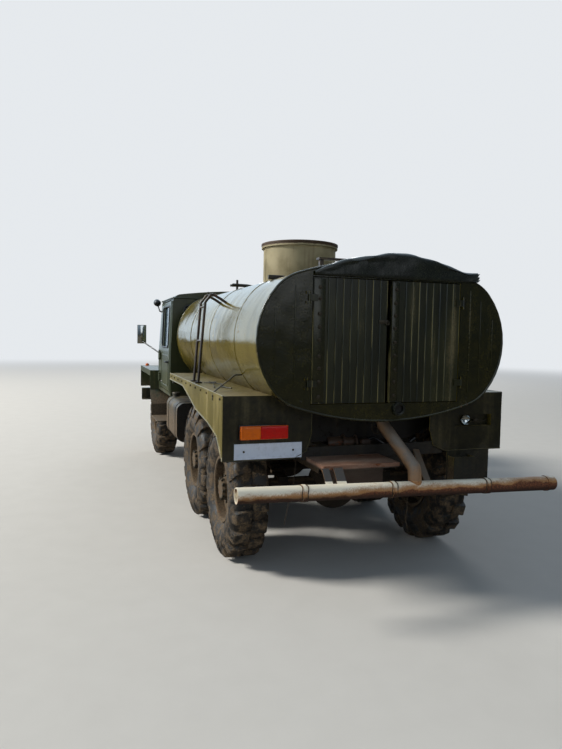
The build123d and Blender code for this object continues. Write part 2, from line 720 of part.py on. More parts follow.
with BuildPart() as cab_tub:
    add(cab_skin(0, cab_wall))
    cut_openings()
    block((-2000, 2000), (cab_front_y - 100, pillar_y), (0, header_z), mode=Mode.INTERSECT)
    for x, y in mount_pads:
        for side in (-1, 1):
            if front_axle_y + y < pillar_y:
                block((side * (x - 40), side * (x + 40)), (front_axle_y + y - 40, front_axle_y + y + 40), (frame_top, cab_bottom))
    for side in (-1, 1):
        for z in cab_hinge_heights:
            rod((side * cab_hinge_x, cab_hinge_y, z - 60), (side * cab_hinge_x, cab_hinge_y, z + 60), hinge_pin_radius)
            for low in (z - 60, z + 40):
                block((side * (cab_half_width - 10), side * (cab_hinge_x + 8)), (cab_hinge_y - 60, cab_hinge_y - 4), (low, low + 20))
                rod((side * cab_hinge_x, cab_hinge_y, low), (side * cab_hinge_x, cab_hinge_y, low + 20), hinge_barrel_radius)
    for side in (-1, 1):
        for x in (bonnet_hinge_x - 40, bonnet_hinge_x + 30):
            block((side * x, side * (x + 10)), (bonnet_hinge_y - 10, cab_front_y), (bonnet_hinge_z - 8, bonnet_hinge_z + 12))
            block((side * x, side * (x + 10)), (cab_front_y - 4, cab_front_y + 4), (waist_z - 20, bonnet_hinge_z + 12))
        rod((side * (bonnet_hinge_x - 35), bonnet_hinge_y, bonnet_hinge_z), (side * (bonnet_hinge_x + 35), bonnet_hinge_y, bonnet_hinge_z), 6)
keep(cab_tub, "cab_tub")

with BuildPart() as cab_back:
    add(cab_skin(0, cab_wall))
    cut_openings()
    block((-2000, 2000), (pillar_y, cab_rear_y + 100), (0, 3000), mode=Mode.INTERSECT)
    for side in (-1, 1):
        block((side * 350, side * 430), (front_axle_y + 1600, front_axle_y + 1680), (frame_top, cab_bottom))
keep(cab_back, "cab_back")

with BuildPart() as cab_roof:
    add(cab_skin(0, cab_wall))
    cut_openings()
    block((-2000, 2000), (cab_front_y - 100, pillar_y), (header_z, 3000), mode=Mode.INTERSECT)
keep(cab_roof, "cab_roof")

with BuildPart() as pane_holes:
    block((-windscreen_half, windscreen_half), (cab_front_y - 50, cab_front_y + 250), (windscreen_low, windscreen_high))
    block((-rear_window_half, rear_window_half), (cab_rear_y - 100, cab_rear_y + 50), (rear_window_low, rear_window_high))
with BuildPart() as cab_glass:
    add(cab_skin(glass_inset, glass_inset + glass_thickness))
    add(pane_holes.part, mode=Mode.INTERSECT)
keep(cab_glass, "cab_glass")

# Cab doors with their windows
window_y = (cab_door_front_y + door_window_margin + 60, cab_door_rear_y - door_window_margin)
for side, name in ((1, "left"), (-1, "right")):
    outer_x = (side * (cab_half_width - 150), side * (cab_half_width + 100))
    with BuildPart() as cab_door:
        add(cab_skin(0, cab_wall))
        block(outer_x, (cab_door_front_y, cab_door_rear_y), (cab_door_low, cab_door_high), mode=Mode.INTERSECT)
        block(outer_x, window_y, (door_window_low, door_window_high), mode=Mode.SUBTRACT)
        for z in cab_hinge_heights:
            block((side * (cab_half_width - 4), side * (cab_hinge_x + 8)), (cab_hinge_y + 4, cab_hinge_y + 70), (z - 38, z + 38))
            rod((side * cab_hinge_x, cab_hinge_y, z - 38), (side * cab_hinge_x, cab_hinge_y, z + 38), hinge_barrel_radius)
            rod((side * cab_hinge_x, cab_hinge_y, z - 60), (side * cab_hinge_x, cab_hinge_y, z + 60), hinge_pin_radius + running_gap, mode=Mode.SUBTRACT)
    keep(cab_door, f"cab_door_{name}")
    with BuildPart() as door_glass:
        add(cab_skin(glass_inset, glass_inset + glass_thickness))
        block(outer_x, window_y, (door_window_low, door_window_high), mode=Mode.INTERSECT)
    keep(door_glass, f"door_glass_{name}")

# Seats, and the steering wheel on its column
floor_z = cab_bottom + cab_wall
seat_cushion_z = 1440
seats_table = (
    # left edge, right edge
    (780, 240),
    (60, -820),
)
with BuildPart() as seats:
    for left, right in seats_table:
        block((right, left), (front_axle_y + 1130, front_axle_y + 1560), (floor_z + fit_gap, seat_cushion_z))
        with BuildSketch(side_plane(right)):
            Polygon(
                (front_axle_y + 1500, seat_cushion_z), (front_axle_y + 1600, seat_cushion_z),
                (front_axle_y + 1660, seat_cushion_z + 480), (front_axle_y + 1560, seat_cushion_z + 480), align=None,
            )
        extrude(amount=left - right)
keep(seats, "seats")

wheel_centre = (430, front_axle_y + 960, 1700)
wheel_rim_radius = 225
column_foot = (430, cab_front_y + cab_wall + fit_gap, 1330)
column_run = Vector(*wheel_centre) - Vector(*column_foot)
with BuildPart() as steering_wheel:
    with BuildSketch(Plane(origin=wheel_centre, x_dir=(1, 0, 0), z_dir=column_run)):
        Circle(50)
        Rectangle(2 * wheel_rim_radius, 30)
        Rectangle(30, 2 * wheel_rim_radius)
    extrude(amount=-16)
    with BuildSketch(Plane(origin=wheel_centre, x_dir=(1, 0, 0), z_dir=Vector(1, 0, 0).cross(column_run))):
        with Locations((wheel_rim_radius, 8)):
            Circle(14)
    revolve(axis=Axis(wheel_centre, column_run))
    rod(wheel_centre, tuple(Vector(*wheel_centre) - column_run * 0.9), 24)
    block((400, 460), (cab_front_y + cab_wall, cab_front_y + cab_wall + 90), (1300, 1380))
keep(steering_wheel, "steering_wheel")

# Fuel tanks and air tanks hung on the rails
fuel_inner = 560
fuel_outer = 1120
fuel_z = 855
fuel_height = 450
fuel_round = 90
strap_width = 60
fuel_y = (front_axle_y + 1860, mid_axle_y - 650)
air_radius = 110
air_y = (front_axle_y + 1330, front_axle_y + 1800)
air_x = 600
air_z = 850
with BuildPart() as side_tanks:
    for side in (-1, 1):
        with BuildSketch(station(fuel_y[0])):
            with Locations((side * (fuel_inner + fuel_outer) / 2, fuel_z)):
                RectangleRounded(fuel_outer - fuel_inner, fuel_height, fuel_round)
        extrude(amount=fuel_y[0] - fuel_y[1])
        for y in (fuel_y[0] + 120, fuel_y[1] - 180):
            side_block(side, (frame_width / 2, fuel_inner + 5), (y, y + strap_width), (850, 960))
            with BuildSketch(station(y)):
                with Locations((side * (fuel_inner + fuel_outer) / 2, fuel_z)):
                    RectangleRounded(fuel_outer - fuel_inner + 10, fuel_height + 10, fuel_round + 5)
            extrude(amount=-strap_width)
        rod((side * (fuel_outer - 110), fuel_y[0] + 60, fuel_z), (side * (fuel_outer - 110), fuel_y[0] + 60, fuel_z + fuel_height / 2 + 35), 45)
    rod((air_x, air_y[0], air_z), (air_x, air_y[1], air_z), air_radius)
    block((frame_width / 2, air_x - 80), (air_y[0] + 180, air_y[0] + 240), (air_z, air_z + 60))
keep(side_tanks, "side_tanks")

# Exhaust pipe and silencer on the right side
silencer_x = -580
silencer_z = 740
with BuildPart() as exhaust:
    rod((silencer_x, front_axle_y + 1000, silencer_z), (silencer_x, front_axle_y + 1600, silencer_z), 95)
    rod((silencer_x, front_axle_y + 1599, silencer_z), (silencer_x, front_axle_y + 1740, silencer_z), 32)
    rod((silencer_x + 1, front_axle_y + 1740 - 32, silencer_z), (-1010, front_axle_y + 1740 - 32, silencer_z), 32)
    rod((silencer_x, front_axle_y + 820, silencer_z), (silencer_x, front_axle_y + 1001, silencer_z), 32)
    rod((silencer_x, front_axle_y + 852, silencer_z), (-gearbox_half, front_axle_y + 852, silencer_z), 32)
    block((-frame_width / 2, silencer_x + 60), (front_axle_y + 1250, front_axle_y + 1300), (frame_bottom, frame_bottom + 60))
    block((silencer_x, silencer_x + 60), (front_axle_y + 1250, front_axle_y + 1300), (silencer_z + 80, frame_bottom + 60))
keep(exhaust, "exhaust")


def tank_form(front, rear, grow=0):
    """A length of the tank's body: flat arcs top and bottom and at the sides, small ones at the corners."""
    half_width = tank_half_width + grow
    half_height = tank_half_height + grow
    corner = tank_corner_radius + grow
    rise = half_height - tank_corner_z
    reach = half_width - tank_corner_x
    flat_radius = (tank_corner_x**2 + rise**2 - corner**2) / (2 * (rise - corner))
    side_radius = (tank_corner_z**2 + reach**2 - corner**2) / (2 * (reach - corner))
    flat_centre = half_height - flat_radius
    side_centre = half_width - side_radius
    flat_turn = math.degrees(math.atan2(tank_corner_z - flat_centre, tank_corner_x))
    side_turn = math.degrees(math.atan2(tank_corner_z, tank_corner_x - side_centre))
    with BuildPart() as form:
        with BuildSketch(station(rear, tank_z)):
            with BuildLine():
                CenterArc((side_centre, 0), side_radius, 0, side_turn)
                CenterArc((tank_corner_x, tank_corner_z), corner, side_turn, flat_turn - side_turn)
                CenterArc((0, flat_centre), flat_radius, flat_turn, 90 - flat_turn)
                mirror(about=Plane.YZ)
                mirror(about=Plane.XZ)
            make_face()
        extrude(amount=rear - front)
    return form.part


# Tank
with BuildPart() as tank:
    add(tank_form(tank_front_y, cabinet_front_y))
keep(tank, "tank")

# Saddles under the tank: three carry the side platforms as well
platform_top = 1428
platform_sheet = 8
platform_outer = 1200
saddle_thickness = 60
saddle_stations = (
    # y, carries the platform
    (front_axle_y + 2120, False),
    (mid_axle_y - 490, True),
    (bogie_y, True),
    (rear_axle_y + 480, True),
)
tank_clear = tank_form(tank_front_y - 100, cabinet_rear_y + 100, fit_gap)
with BuildPart() as saddles:
    for y, wide in saddle_stations:
        reach = platform_outer - platform_sheet - fit_gap if wide else 620
        top = platform_top - platform_sheet
        with BuildSketch(station(y + saddle_thickness / 2)):
            with BuildLine():
                Polyline((-reach, top), (-reach, top - 90), (-frame_width / 2, frame_top), (frame_width / 2, frame_top), (reach, top - 90), (reach, top), close=True)
            make_face()
        extrude(amount=saddle_thickness)
    add(tank_clear, mode=Mode.SUBTRACT)
keep(saddles, "saddles")

# Filler neck
with BuildPart() as filler_neck:
    with BuildSketch(Plane.XY.offset(tank_z)):
        with Locations((0, neck_y)):
            Circle(neck_radius)
            Circle(neck_radius - neck_wall, mode=Mode.SUBTRACT)
    extrude(amount=neck_top - tank_z)
    with BuildSketch(Plane.XY.offset(neck_top - neck_rim_height)):
        with Locations((0, neck_y)):
            Circle(neck_rim_radius)
            Circle(neck_radius - neck_wall, mode=Mode.SUBTRACT)
    extrude(amount=neck_rim_height)
    add(tank_form(tank_front_y, cabinet_front_y, fit_gap), mode=Mode.SUBTRACT)
    lid_hinge_y = neck_y - neck_rim_radius - 22
    lid_hinge_z = neck_top + lid_thickness / 2 + fit_gap
    for side in (-1, 1):
        block((side * 46, side * 60), (lid_hinge_y - 14, neck_y - neck_rim_radius + 12), (neck_top - neck_rim_height, neck_top - 2))
        block((side * 46, side * 60), (lid_hinge_y - 14, lid_hinge_y + 14), (neck_top - neck_rim_height, lid_hinge_z + 12))
    rod((-60, lid_hinge_y, lid_hinge_z), (60, lid_hinge_y, lid_hinge_z), 6)
keep(filler_neck, "filler_neck")

with BuildPart() as filler_lid:
    with BuildSketch(Plane.XY.offset(neck_top + fit_gap)):
        with Locations((0, neck_y)):
            Circle(neck_rim_radius + 4)
        with Locations((0, (lid_hinge_y + neck_y) / 2)):
            Rectangle(80, neck_y - lid_hinge_y)
    extrude(amount=lid_thickness)
    rod((-40, lid_hinge_y, lid_hinge_z), (40, lid_hinge_y, lid_hinge_z), 13)
    rod((-50, lid_hinge_y, lid_hinge_z), (50, lid_hinge_y, lid_hinge_z), 6 + running_gap, mode=Mode.SUBTRACT)
keep(filler_lid, "filler_lid")

# Cabinet at the tail: the tank's form, hollow, with a door hole in its rear wall
cabinet_hinge_x = door_span + 24
cabinet_hinge_y = cabinet_rear_y + 10
cabinet_pin_radius = 5
cabinet_barrel_radius = 8
cabinet_hinge_heights = (1530, 2140)
with BuildPart() as cabinet:
    add(tank_form(cabinet_front_y + fit_gap, cabinet_rear_y))
    add(tank_form(cabinet_front_y - 50, cabinet_rear_y - cabinet_wall, -cabinet_wall), mode=Mode.SUBTRACT)
    block((-door_span, door_span), (cabinet_rear_y - 100, cabinet_rear_y + 100), (cabinet_door_low, cabinet_door_high), mode=Mode.SUBTRACT)
    for side in (-1, 1):
        for z in cabinet_hinge_heights:
            hinge = (side * cabinet_hinge_x, cabinet_hinge_y)
            rod((*hinge, z - 45), (*hinge, z + 45), cabinet_pin_radius)
            for low in (z - 45, z + 25):
                side_block(side, (cabinet_hinge_x, cabinet_hinge_x + 26), (cabinet_rear_y - 2, cabinet_hinge_y + 3), (low, low + 20))
                rod((*hinge, low), (*hinge, low + 20), cabinet_barrel_radius)
keep(cabinet, "cabinet")

door_clear = 6
board_count = 10
board_pitch = (door_span - door_clear - door_middle_gap / 2) / board_count
groove = 8
door_middle_x = (door_span - door_clear + door_middle_gap / 2) / 2
for side, name in ((1, "left"), (-1, "right")):
    with BuildPart() as cabinet_door:
        block((side * door_middle_gap / 2, side * (door_span - door_clear)), (cabinet_rear_y - cabinet_door_thickness, cabinet_rear_y), (cabinet_door_low + door_clear, cabinet_door_high - door_clear))
        with Locations((side * door_middle_x, cabinet_rear_y, (cabinet_door_low + cabinet_door_high) / 2)):
            with GridLocations(board_pitch, 1, board_count - 1, 1):
                Box(groove, groove, 2 * (cabinet_door_high - cabinet_door_low), rotation=(0, 0, 45), mode=Mode.SUBTRACT)
        for z in cabinet_hinge_heights:
            hinge = (side * cabinet_hinge_x, cabinet_hinge_y)
            side_block(side, (door_span - 40, cabinet_hinge_x), (cabinet_rear_y + 3, cabinet_hinge_y + 2), (z - 23, z + 23))
            side_block(side, (door_span - 40, door_span - 14), (cabinet_rear_y - 8, cabinet_hinge_y), (z - 23, z + 23))
            rod((*hinge, z - 23), (*hinge, z + 23), cabinet_barrel_radius)
            rod((*hinge, z - 45), (*hinge, z + 45), cabinet_pin_radius + running_gap, mode=Mode.SUBTRACT)
    keep(cabinet_door, f"cabinet_door_{name}")

# Hood of bent sheet over the cabinet doors: an arched roof strip and an upright front
hood_left = 600
hood_right = 740
hood_left_top = 2325
hood_crown_x = -200
hood_crown = 2480
hood_right_top = 2362
hood_lip = 2302
hood_front_y = cabinet_rear_y + 22
hood_back_y = cabinet_rear_y - 165
hood_sheet = 6


def hood_form(inset, front, rear):
    """Solid of the hood's outline, set in by a sheet's thickness."""
    left = hood_left - inset
    right = inset - hood_right
    with BuildPart() as form:
        with BuildSketch(station(rear)):
            with BuildLine():
                Polyline((hood_crown_x, hood_crown - inset), (right, hood_right_top - inset), (right, hood_lip - inset), (left, hood_lip - inset), (left, hood_left_top - inset))
                ThreePointArc((left, hood_left_top - inset), (258, 2448 - inset), (hood_crown_x, hood_crown - inset))
            make_face()
        extrude(amount=rear - front)
    return form.part


with BuildPart() as visor:
    add(hood_form(0, hood_back_y, hood_front_y))
    add(hood_form(hood_sheet, hood_back_y - 10, hood_front_y - hood_sheet), mode=Mode.SUBTRACT)
    add(tank_form(tank_front_y, cabinet_rear_y + fit_gap, fit_gap), mode=Mode.SUBTRACT)
keep(visor, "visor")

# Platforms, skirts and rear panels over the bogie wheels
platform_front_y = mid_axle_y - 650
platform_rear_y = rear_axle_y + 740
rear_panel_inner = 510
rear_panel_low = 950
recess_x = (-1108, -746)
recess_z = (1142, 1254)
recess_depth = 60
flap_low = 690
tray_x = (-885, -690)
tray_z = (715, 915)
tray_depth = 90
skirt_edge = (
    # y, lower edge's height
    (platform_front_y, 1360),
    (mid_axle_y + 250, 1360),
    (mid_axle_y + 550, 1300),
    (rear_axle_y - 300, 1210),
    (rear_axle_y + 200, 1170),
    (rear_axle_y + 550, 1110),
    (platform_rear_y, rear_panel_low),
)
with BuildPart() as mudguards:
    for side in (-1, 1):
        block((side * 600, side * platform_outer), (platform_front_y, platform_rear_y), (platform_top - platform_sheet, platform_top))
        with BuildSketch(side_plane(side * platform_outer)):
            Polygon(
                *skirt_edge,
                (platform_rear_y, platform_top), (platform_front_y, platform_top), align=None,
            )
        extrude(amount=-side * platform_sheet)
        with BuildSketch(station(platform_rear_y)):
            Polygon(
                (side * platform_outer, platform_top), (side * platform_outer, rear_panel_low),
                (side * (rear_panel_inner + 150), rear_panel_low), (side * (rear_panel_inner + 40), rear_panel_low + 50),
                (side * rear_panel_inner, rear_panel_low + 180), (side * rear_panel_inner, platform_top), align=None,
            )
        extrude(amount=platform_sheet)
    block(recess_x, (platform_rear_y - recess_depth, platform_rear_y), recess_z)
    block(
        (recess_x[0] + platform_sheet, recess_x[1] - platform_sheet), (platform_rear_y - recess_depth + platform_sheet, platform_rear_y + 10),
        (recess_z[0] + platform_sheet, recess_z[1] - platform_sheet), mode=Mode.SUBTRACT,
    )
    block((-1085, -680), (platform_rear_y - platform_sheet, platform_rear_y), (flap_low, rear_panel_low + 10))
    block(tray_x, (platform_rear_y - 2, platform_rear_y + tray_depth), tray_z)
    block(
        (tray_x[0] + 4, tray_x[1] - 4), (platform_rear_y, platform_rear_y + tray_depth - 4), (tray_z[0] + 4, tray_z[1] + 10), mode=Mode.SUBTRACT,
    )
    add(tank_clear, mode=Mode.SUBTRACT)
keep(mudguards, "mudguards")

# Tail lamp on the left rear panel
lamp_low = 1115
lamp_high = 1210
with BuildPart() as tail_lamp:
    block((710, 1080), (platform_rear_y, platform_rear_y + 12), (lamp_low - 6, lamp_high + 6))
    block((716, 1074), (platform_rear_y + 12, platform_rear_y + 55), (lamp_low, lamp_high))
keep(tail_lamp, "tail_lamp")

# Ladder up the left flank, and a hand bar on the tank
ladder_tube = 12.5
ladder_y = (mid_axle_y + 580, mid_axle_y + 790)
ladder_foot_x = 1150
tank_touch = 32
touch_x = tank_corner_x + (tank_corner_radius + fit_gap) * math.cos(math.radians(tank_touch))
touch_z = tank_z + tank_corner_z + (tank_corner_radius + fit_gap) * math.sin(math.radians(tank_touch))
lead_x = touch_x + 60 * math.cos(math.radians(tank_touch))
lead_z = touch_z + 60 * math.sin(math.radians(tank_touch))
rung_heights = (1810, 2120)
bar_y = mid_axle_y - 50
bar_z = 2390
flat_bar_y = cabinet_rear_y - 350
flat_bar_z = 2462
with BuildPart() as ladder:
    for y in ladder_y:
        with BuildLine():
            FilletPolyline(
                (ladder_foot_x, y, platform_top + 6), (1092, y, 2160), (1035, y, 2238), (lead_x, y, lead_z), (touch_x, y, touch_z), radius=22,
            )
        with BuildSketch(Plane(origin=(ladder_foot_x, y, platform_top + 6), z_dir=(1092 - ladder_foot_x, 0, 2160 - platform_top - 6))):
            Circle(ladder_tube)
        sweep()
        block((ladder_foot_x - 30, ladder_foot_x + 30), (y - 30, y + 30), (platform_top, platform_top + 12))
    for z in rung_heights:
        x = ladder_foot_x + (1092 - ladder_foot_x) * (z - platform_top) / (2160 - platform_top)
        rod((x, ladder_y[0], z), (x, ladder_y[1], z), 10)
    rod((660, bar_y, bar_z), (330, bar_y, bar_z), 12)
    rod((585, bar_y, 2300), (585, bar_y, 2450), 12)
    rod((360, bar_y, 2300), (360, bar_y, bar_z), 12)
    block((63, 435), (flat_bar_y - 30, flat_bar_y + 30), (flat_bar_z - 8, flat_bar_z + 8))
    for x in (90, 408):
        block((x - 15, x + 15), (flat_bar_y - 15, flat_bar_y + 15), (2300, flat_bar_z))
    add(tank_clear, mode=Mode.SUBTRACT)
keep(ladder, "ladder")

# Spray bar across the tail, the drain pipe that feeds it and the flat braces that hold it
bar_radius = 54
clamp_radius = 59
spray_y = rear_y - clamp_radius
step_top = 958
step_front_y = rail_rear_y + beam_depth
step_rear_y = step_front_y + 345
bar_left = 1210
bar_left_z = 826
bar_right_z = 756
bar_slope = math.atan2(bar_left_z - bar_right_z, bar_left + half_span)
bar_right = half_span - bar_radius * math.sin(bar_slope)
bar_wall = 6
bar_bands = (746, 73, -712, -1270)
pipe_radius = 48
pipe_x = -115


def bar_z_at(x):
    """Height of the sloping bar's middle line at x."""
    return bar_left_z + (bar_right_z - bar_left_z) * (bar_left - x) / (bar_left + bar_right)


pipe_top = (-60, cabinet_rear_y - 220, tank_z - tank_half_height + 12)
pipe_bend = (-66, cabinet_rear_y - 150, 1180)
pipe_knee = (pipe_x, spray_y - 22, 935)
pipe_foot = (pipe_x, spray_y, bar_z_at(pipe_x))
with BuildPart() as spray_bar:
    bar_ends = ((bar_left, spray_y, bar_left_z), (-bar_right, spray_y, bar_right_z))
    rod(*bar_ends, bar_radius)
    with BuildLine():
        FilletPolyline(pipe_top, pipe_bend, pipe_knee, pipe_foot, radius=60)
    with BuildSketch(Plane(origin=pipe_top, z_dir=Vector(*pipe_bend) - Vector(*pipe_top))):
        Circle(pipe_radius)
    sweep()
    flat_bar((-393, step_front_y + fit_gap, 974), (-236, spray_y, bar_z_at(-236)), 50, 10)
    for x, width in ((538, 52), (442, 70)):
        flat_bar((x, step_rear_y + fit_gap, step_top - 16), (x, spray_y, bar_z_at(x)), width, 8)
    for x in bar_bands:
        rod((x + 12, spray_y, bar_z_at(x + 12)), (x - 12, spray_y, bar_z_at(x - 12)), clamp_radius)
    for end, other in (bar_ends, bar_ends[::-1]):
        inward = (Vector(*other) - Vector(*end)).normalized() * 60
        rod(end, tuple(Vector(*end) + inward), bar_radius - bar_wall, mode=Mode.SUBTRACT)
    add(tank_clear, mode=Mode.SUBTRACT)
    block((-600, 0), (rail_rear_y, step_front_y + fit_gap), (900, 1050), mode=Mode.SUBTRACT)
    block((0, 600), (rail_rear_y, step_rear_y + fit_gap), (step_top - 60, step_top), mode=Mode.SUBTRACT)
keep(spray_bar, "spray_bar")

# Step plate of bent sheet behind the cross beam, and the box under it
step_x = (-52, 548)
step_sheet = 8
step_flange = 34
with BuildPart() as step_plate:
    block(step_x, (step_front_y, step_rear_y), (step_top - step_flange, step_top))
    block(
        (step_x[0] + step_sheet, step_x[1] - step_sheet), (step_front_y + step_sheet, step_rear_y - step_sheet),
        (0, step_top - step_sheet), mode=Mode.SUBTRACT,
    )
    block((24, 396), (step_front_y + 60, step_rear_y - 110), (735, step_top - step_sheet))
keep(step_plate, "step_plate")

# Mirrors on their arms and a search lamp at the left pillar
mirror_width = 130
mirror_height = 280
mirror_z = 1860
mirror_y = front_axle_y + 200
with BuildPart() as mirrors:
    for side in (-1, 1):
        block((side * (half_span - mirror_width), side * half_span), (mirror_y - 14, mirror_y + 14), (mirror_z - mirror_height / 2, mirror_z + mirror_height / 2))
        block((side * (cab_half_width + fit_gap), side * (cab_half_width + 14)), (cab_front_y + 60, cab_front_y + 120), (1560, 1630))
        rod((side * (cab_half_width + 8), cab_front_y + 90, 1595), (side * (half_span - mirror_width / 2), mirror_y - 5, mirror_z - 100), 10)
    rod((1085, cab_front_y + 60, 2320), (1085, cab_front_y - 20, 2330), 50)
    rod((1085, cab_front_y + 50, 2300), (1060, cab_front_y + 130, 2200), 10)
    rod((1060, cab_front_y + 130, 2200), (1010, cab_front_y + 160, 2180), 10)
    add(cab_form(0), mode=Mode.SUBTRACT)
keep(mirrors, "mirrors")
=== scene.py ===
# %% [markdown]
# # A tanker truck
#
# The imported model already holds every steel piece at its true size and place. This lesson gives each one its
# finish, and adds what the drawing leaves out: tread, bolts, beads, seals, lenses and dented sheet.
# All lengths are metres. +Z is up, the truck faces -Y, and its left side is +X.

# %% Load the frame
import random
from math import atan2, cos, pi, radians, sin, tau

import bmesh
import bpy
from mathutils import Matrix, Vector


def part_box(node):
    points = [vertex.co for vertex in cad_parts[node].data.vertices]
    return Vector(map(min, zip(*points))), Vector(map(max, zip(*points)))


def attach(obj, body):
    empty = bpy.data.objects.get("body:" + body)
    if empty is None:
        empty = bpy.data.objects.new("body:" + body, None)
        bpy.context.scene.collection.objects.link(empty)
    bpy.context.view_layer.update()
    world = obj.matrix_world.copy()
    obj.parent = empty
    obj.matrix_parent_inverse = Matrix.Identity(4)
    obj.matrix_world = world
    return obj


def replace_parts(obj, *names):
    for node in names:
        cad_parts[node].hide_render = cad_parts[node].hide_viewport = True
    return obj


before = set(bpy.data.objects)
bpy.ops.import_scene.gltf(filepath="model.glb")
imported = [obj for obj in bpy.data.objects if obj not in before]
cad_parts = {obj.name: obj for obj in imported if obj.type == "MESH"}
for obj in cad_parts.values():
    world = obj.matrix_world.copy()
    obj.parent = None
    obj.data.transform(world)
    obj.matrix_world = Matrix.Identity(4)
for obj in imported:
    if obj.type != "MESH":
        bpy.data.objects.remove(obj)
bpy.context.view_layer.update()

# %% [markdown]
# ## The camera
#
# The camera stands behind the truck and a little to its left. Its matrix is a place and three turns. The
# lens follows from the focal length in pixels, as Blender's sensor width belongs to the image's longer
# side.

# %% Camera
image_height_pixels = 749
focal_pixels = 599
sensor = 36
camera_place = Vector((2.163, 7.115, 1.861))
yaw, pitch, roll = radians(18.57), radians(-3.62), radians(1.01)
turn = Matrix.Rotation(pi - yaw, 4, "Z") @ Matrix.Rotation(pi / 2 + pitch, 4, "X")
turn @= Matrix.Rotation(roll, 4, "Z")

bpy.ops.object.select_all(action="DESELECT")
bpy.ops.object.camera_add()
camera = bpy.context.object
camera.matrix_world = Matrix.Translation(camera_place) @ turn
camera.data.sensor_width = sensor
camera.data.lens = focal_pixels / image_height_pixels * sensor
camera.data.clip_end = 200
bpy.context.scene.camera = camera
print("lens", round(camera.data.lens, 2), "mm")

# %% [markdown]
# ## Shader maths as expressions
#
# Wear, dust and rust are sums and products of patterns. One small class turns Python's operators into Math
# nodes. Another holds a material, and one method of it makes any other node.

# %% Field and Finish
class Field:
    """A number or a vector that varies over a surface."""

    def __init__(self, finish, socket):
        self.finish = finish
        self.socket = socket

    def maths(self, operation, *values):
        return self.finish.node("Math", {"operation": operation}, values)

    def rise(self, low, high):
        """0 below low, 1 above high, smooth between; it falls where low is the larger."""
        inputs = {"Value": self, "From Min": low, "From Max": high}
        return self.finish.node("MapRange", {"interpolation_type": "SMOOTHSTEP"}, inputs)

    def size(self):
        return self.maths("ABSOLUTE", self)

    def most(self, other):
        return self.maths("MAXIMUM", self, other)

    def fraction(self):
        return self.maths("FRACT", self)


def operator(operation, turned_round=False):
    """A method of Field for one of Python's operators."""
    if turned_round:
        return lambda self, other: self.maths(operation, other, self)
    return lambda self, other: self.maths(operation, self, other)


Field.__add__, Field.__radd__ = operator("ADD"), operator("ADD", True)
Field.__sub__, Field.__rsub__ = operator("SUBTRACT"), operator("SUBTRACT", True)
Field.__mul__, Field.__truediv__ = operator("MULTIPLY"), operator("DIVIDE")


class Finish:
    """A material under construction; a world can be given instead."""

    def __init__(self, name, world=None):
        self.material = world or bpy.data.materials.new(name)
        self.material.use_nodes = True
        self.tree = self.material.node_tree
        self.tree.nodes.clear()
        self.place = self.node("TexCoord", {}, {}, "Generated" if world else "Object")

    def node(self, kind, settings, inputs, output=0):
        made = self.tree.nodes.new("ShaderNode" + kind)
        for name, value in settings.items():
            setattr(made, name, value)
        pairs = inputs.items() if isinstance(inputs, dict) else enumerate(inputs)
        for name, value in pairs:
            if isinstance(value, Field):
                self.tree.links.new(value.socket, made.inputs[name])
            else:
                made.inputs[name].default_value = value
        return Field(self, made.outputs[output])

    def axis(self, name):
        return self.node("SeparateXYZ", {}, {0: self.place}, name)

    def noise(self, scale, detail=3, stretch=(1, 1, 1), roughness=0.55):
        """Clouds with scale lumps per metre, drawn out along an axis where its stretch is under 1."""
        place = self.place
        if stretch != (1, 1, 1):
            place = self.node("Mapping", {}, {"Vector": self.place, "Scale": stretch})
        inputs = {"Vector": place, "Scale": scale, "Detail": detail, "Roughness": roughness}
        return self.node("TexNoise", {}, inputs, "Fac")

    def facing(self, name):
        """How much the surface looks along an axis, from -1 to 1."""
        normal = self.node("TexCoord", {}, {}, "Normal")
        return self.node("SeparateXYZ", {}, {0: normal}, name)

    def blend(self, amount, first, second):
        """The first colour where the amount is 0, and the second where it is 1."""
        return self.node("Mix", {"data_type": "RGBA"}, {0: amount, 6: first, 7: second}, 2)

    def bump(self, height, depth, below=None):
        """A normal from a height; depth is in metres."""
        inputs = {"Height": height, "Distance": depth}
        if below is not None:
            inputs["Normal"] = below
        return self.node("Bump", {}, inputs)

    def end(self, shader, kind):
        output = self.tree.nodes.new("ShaderNodeOutput" + kind)
        self.tree.links.new(shader.socket, output.inputs["Surface"])
        return self.material

    def surface(self, color, roughness, normal=None, **others):
        """Ends the material with its shader."""
        inputs = {"Base Color": color, "Roughness": roughness, **others}
        if normal is not None:
            inputs["Normal"] = normal
        return self.end(self.node("BsdfPrincipled", {}, inputs), "Material")


def tint(red, green, blue):
    """A colour given on a 0 to 255 scale, as the shader's linear value."""
    return tuple((c / 255) ** 2.2 for c in (red, green, blue)) + (1,)


print("field and finish are ready")

# %% [markdown]
# ## Paint that has worked outdoors
#
# Sun bleached every painted sheet in patches, rain drew dust down in runs, wheels threw mud at the lower
# parts, and stones chipped them to rust. So one recipe makes all the paints, and each says how much it has
# of each.

# %% The paint recipe
dry_mud = tint(104, 88, 67)
wet_mud = tint(66, 54, 42)
dust = tint(140, 124, 86)
rust_dark = tint(62, 38, 26)
rust_light = tint(128, 76, 46)
underside_shade_and_dirt = tint(24, 21, 17)
# the colour of the painted highlights on the plank joints
plank_joint_highlight = tint(150, 140, 94)


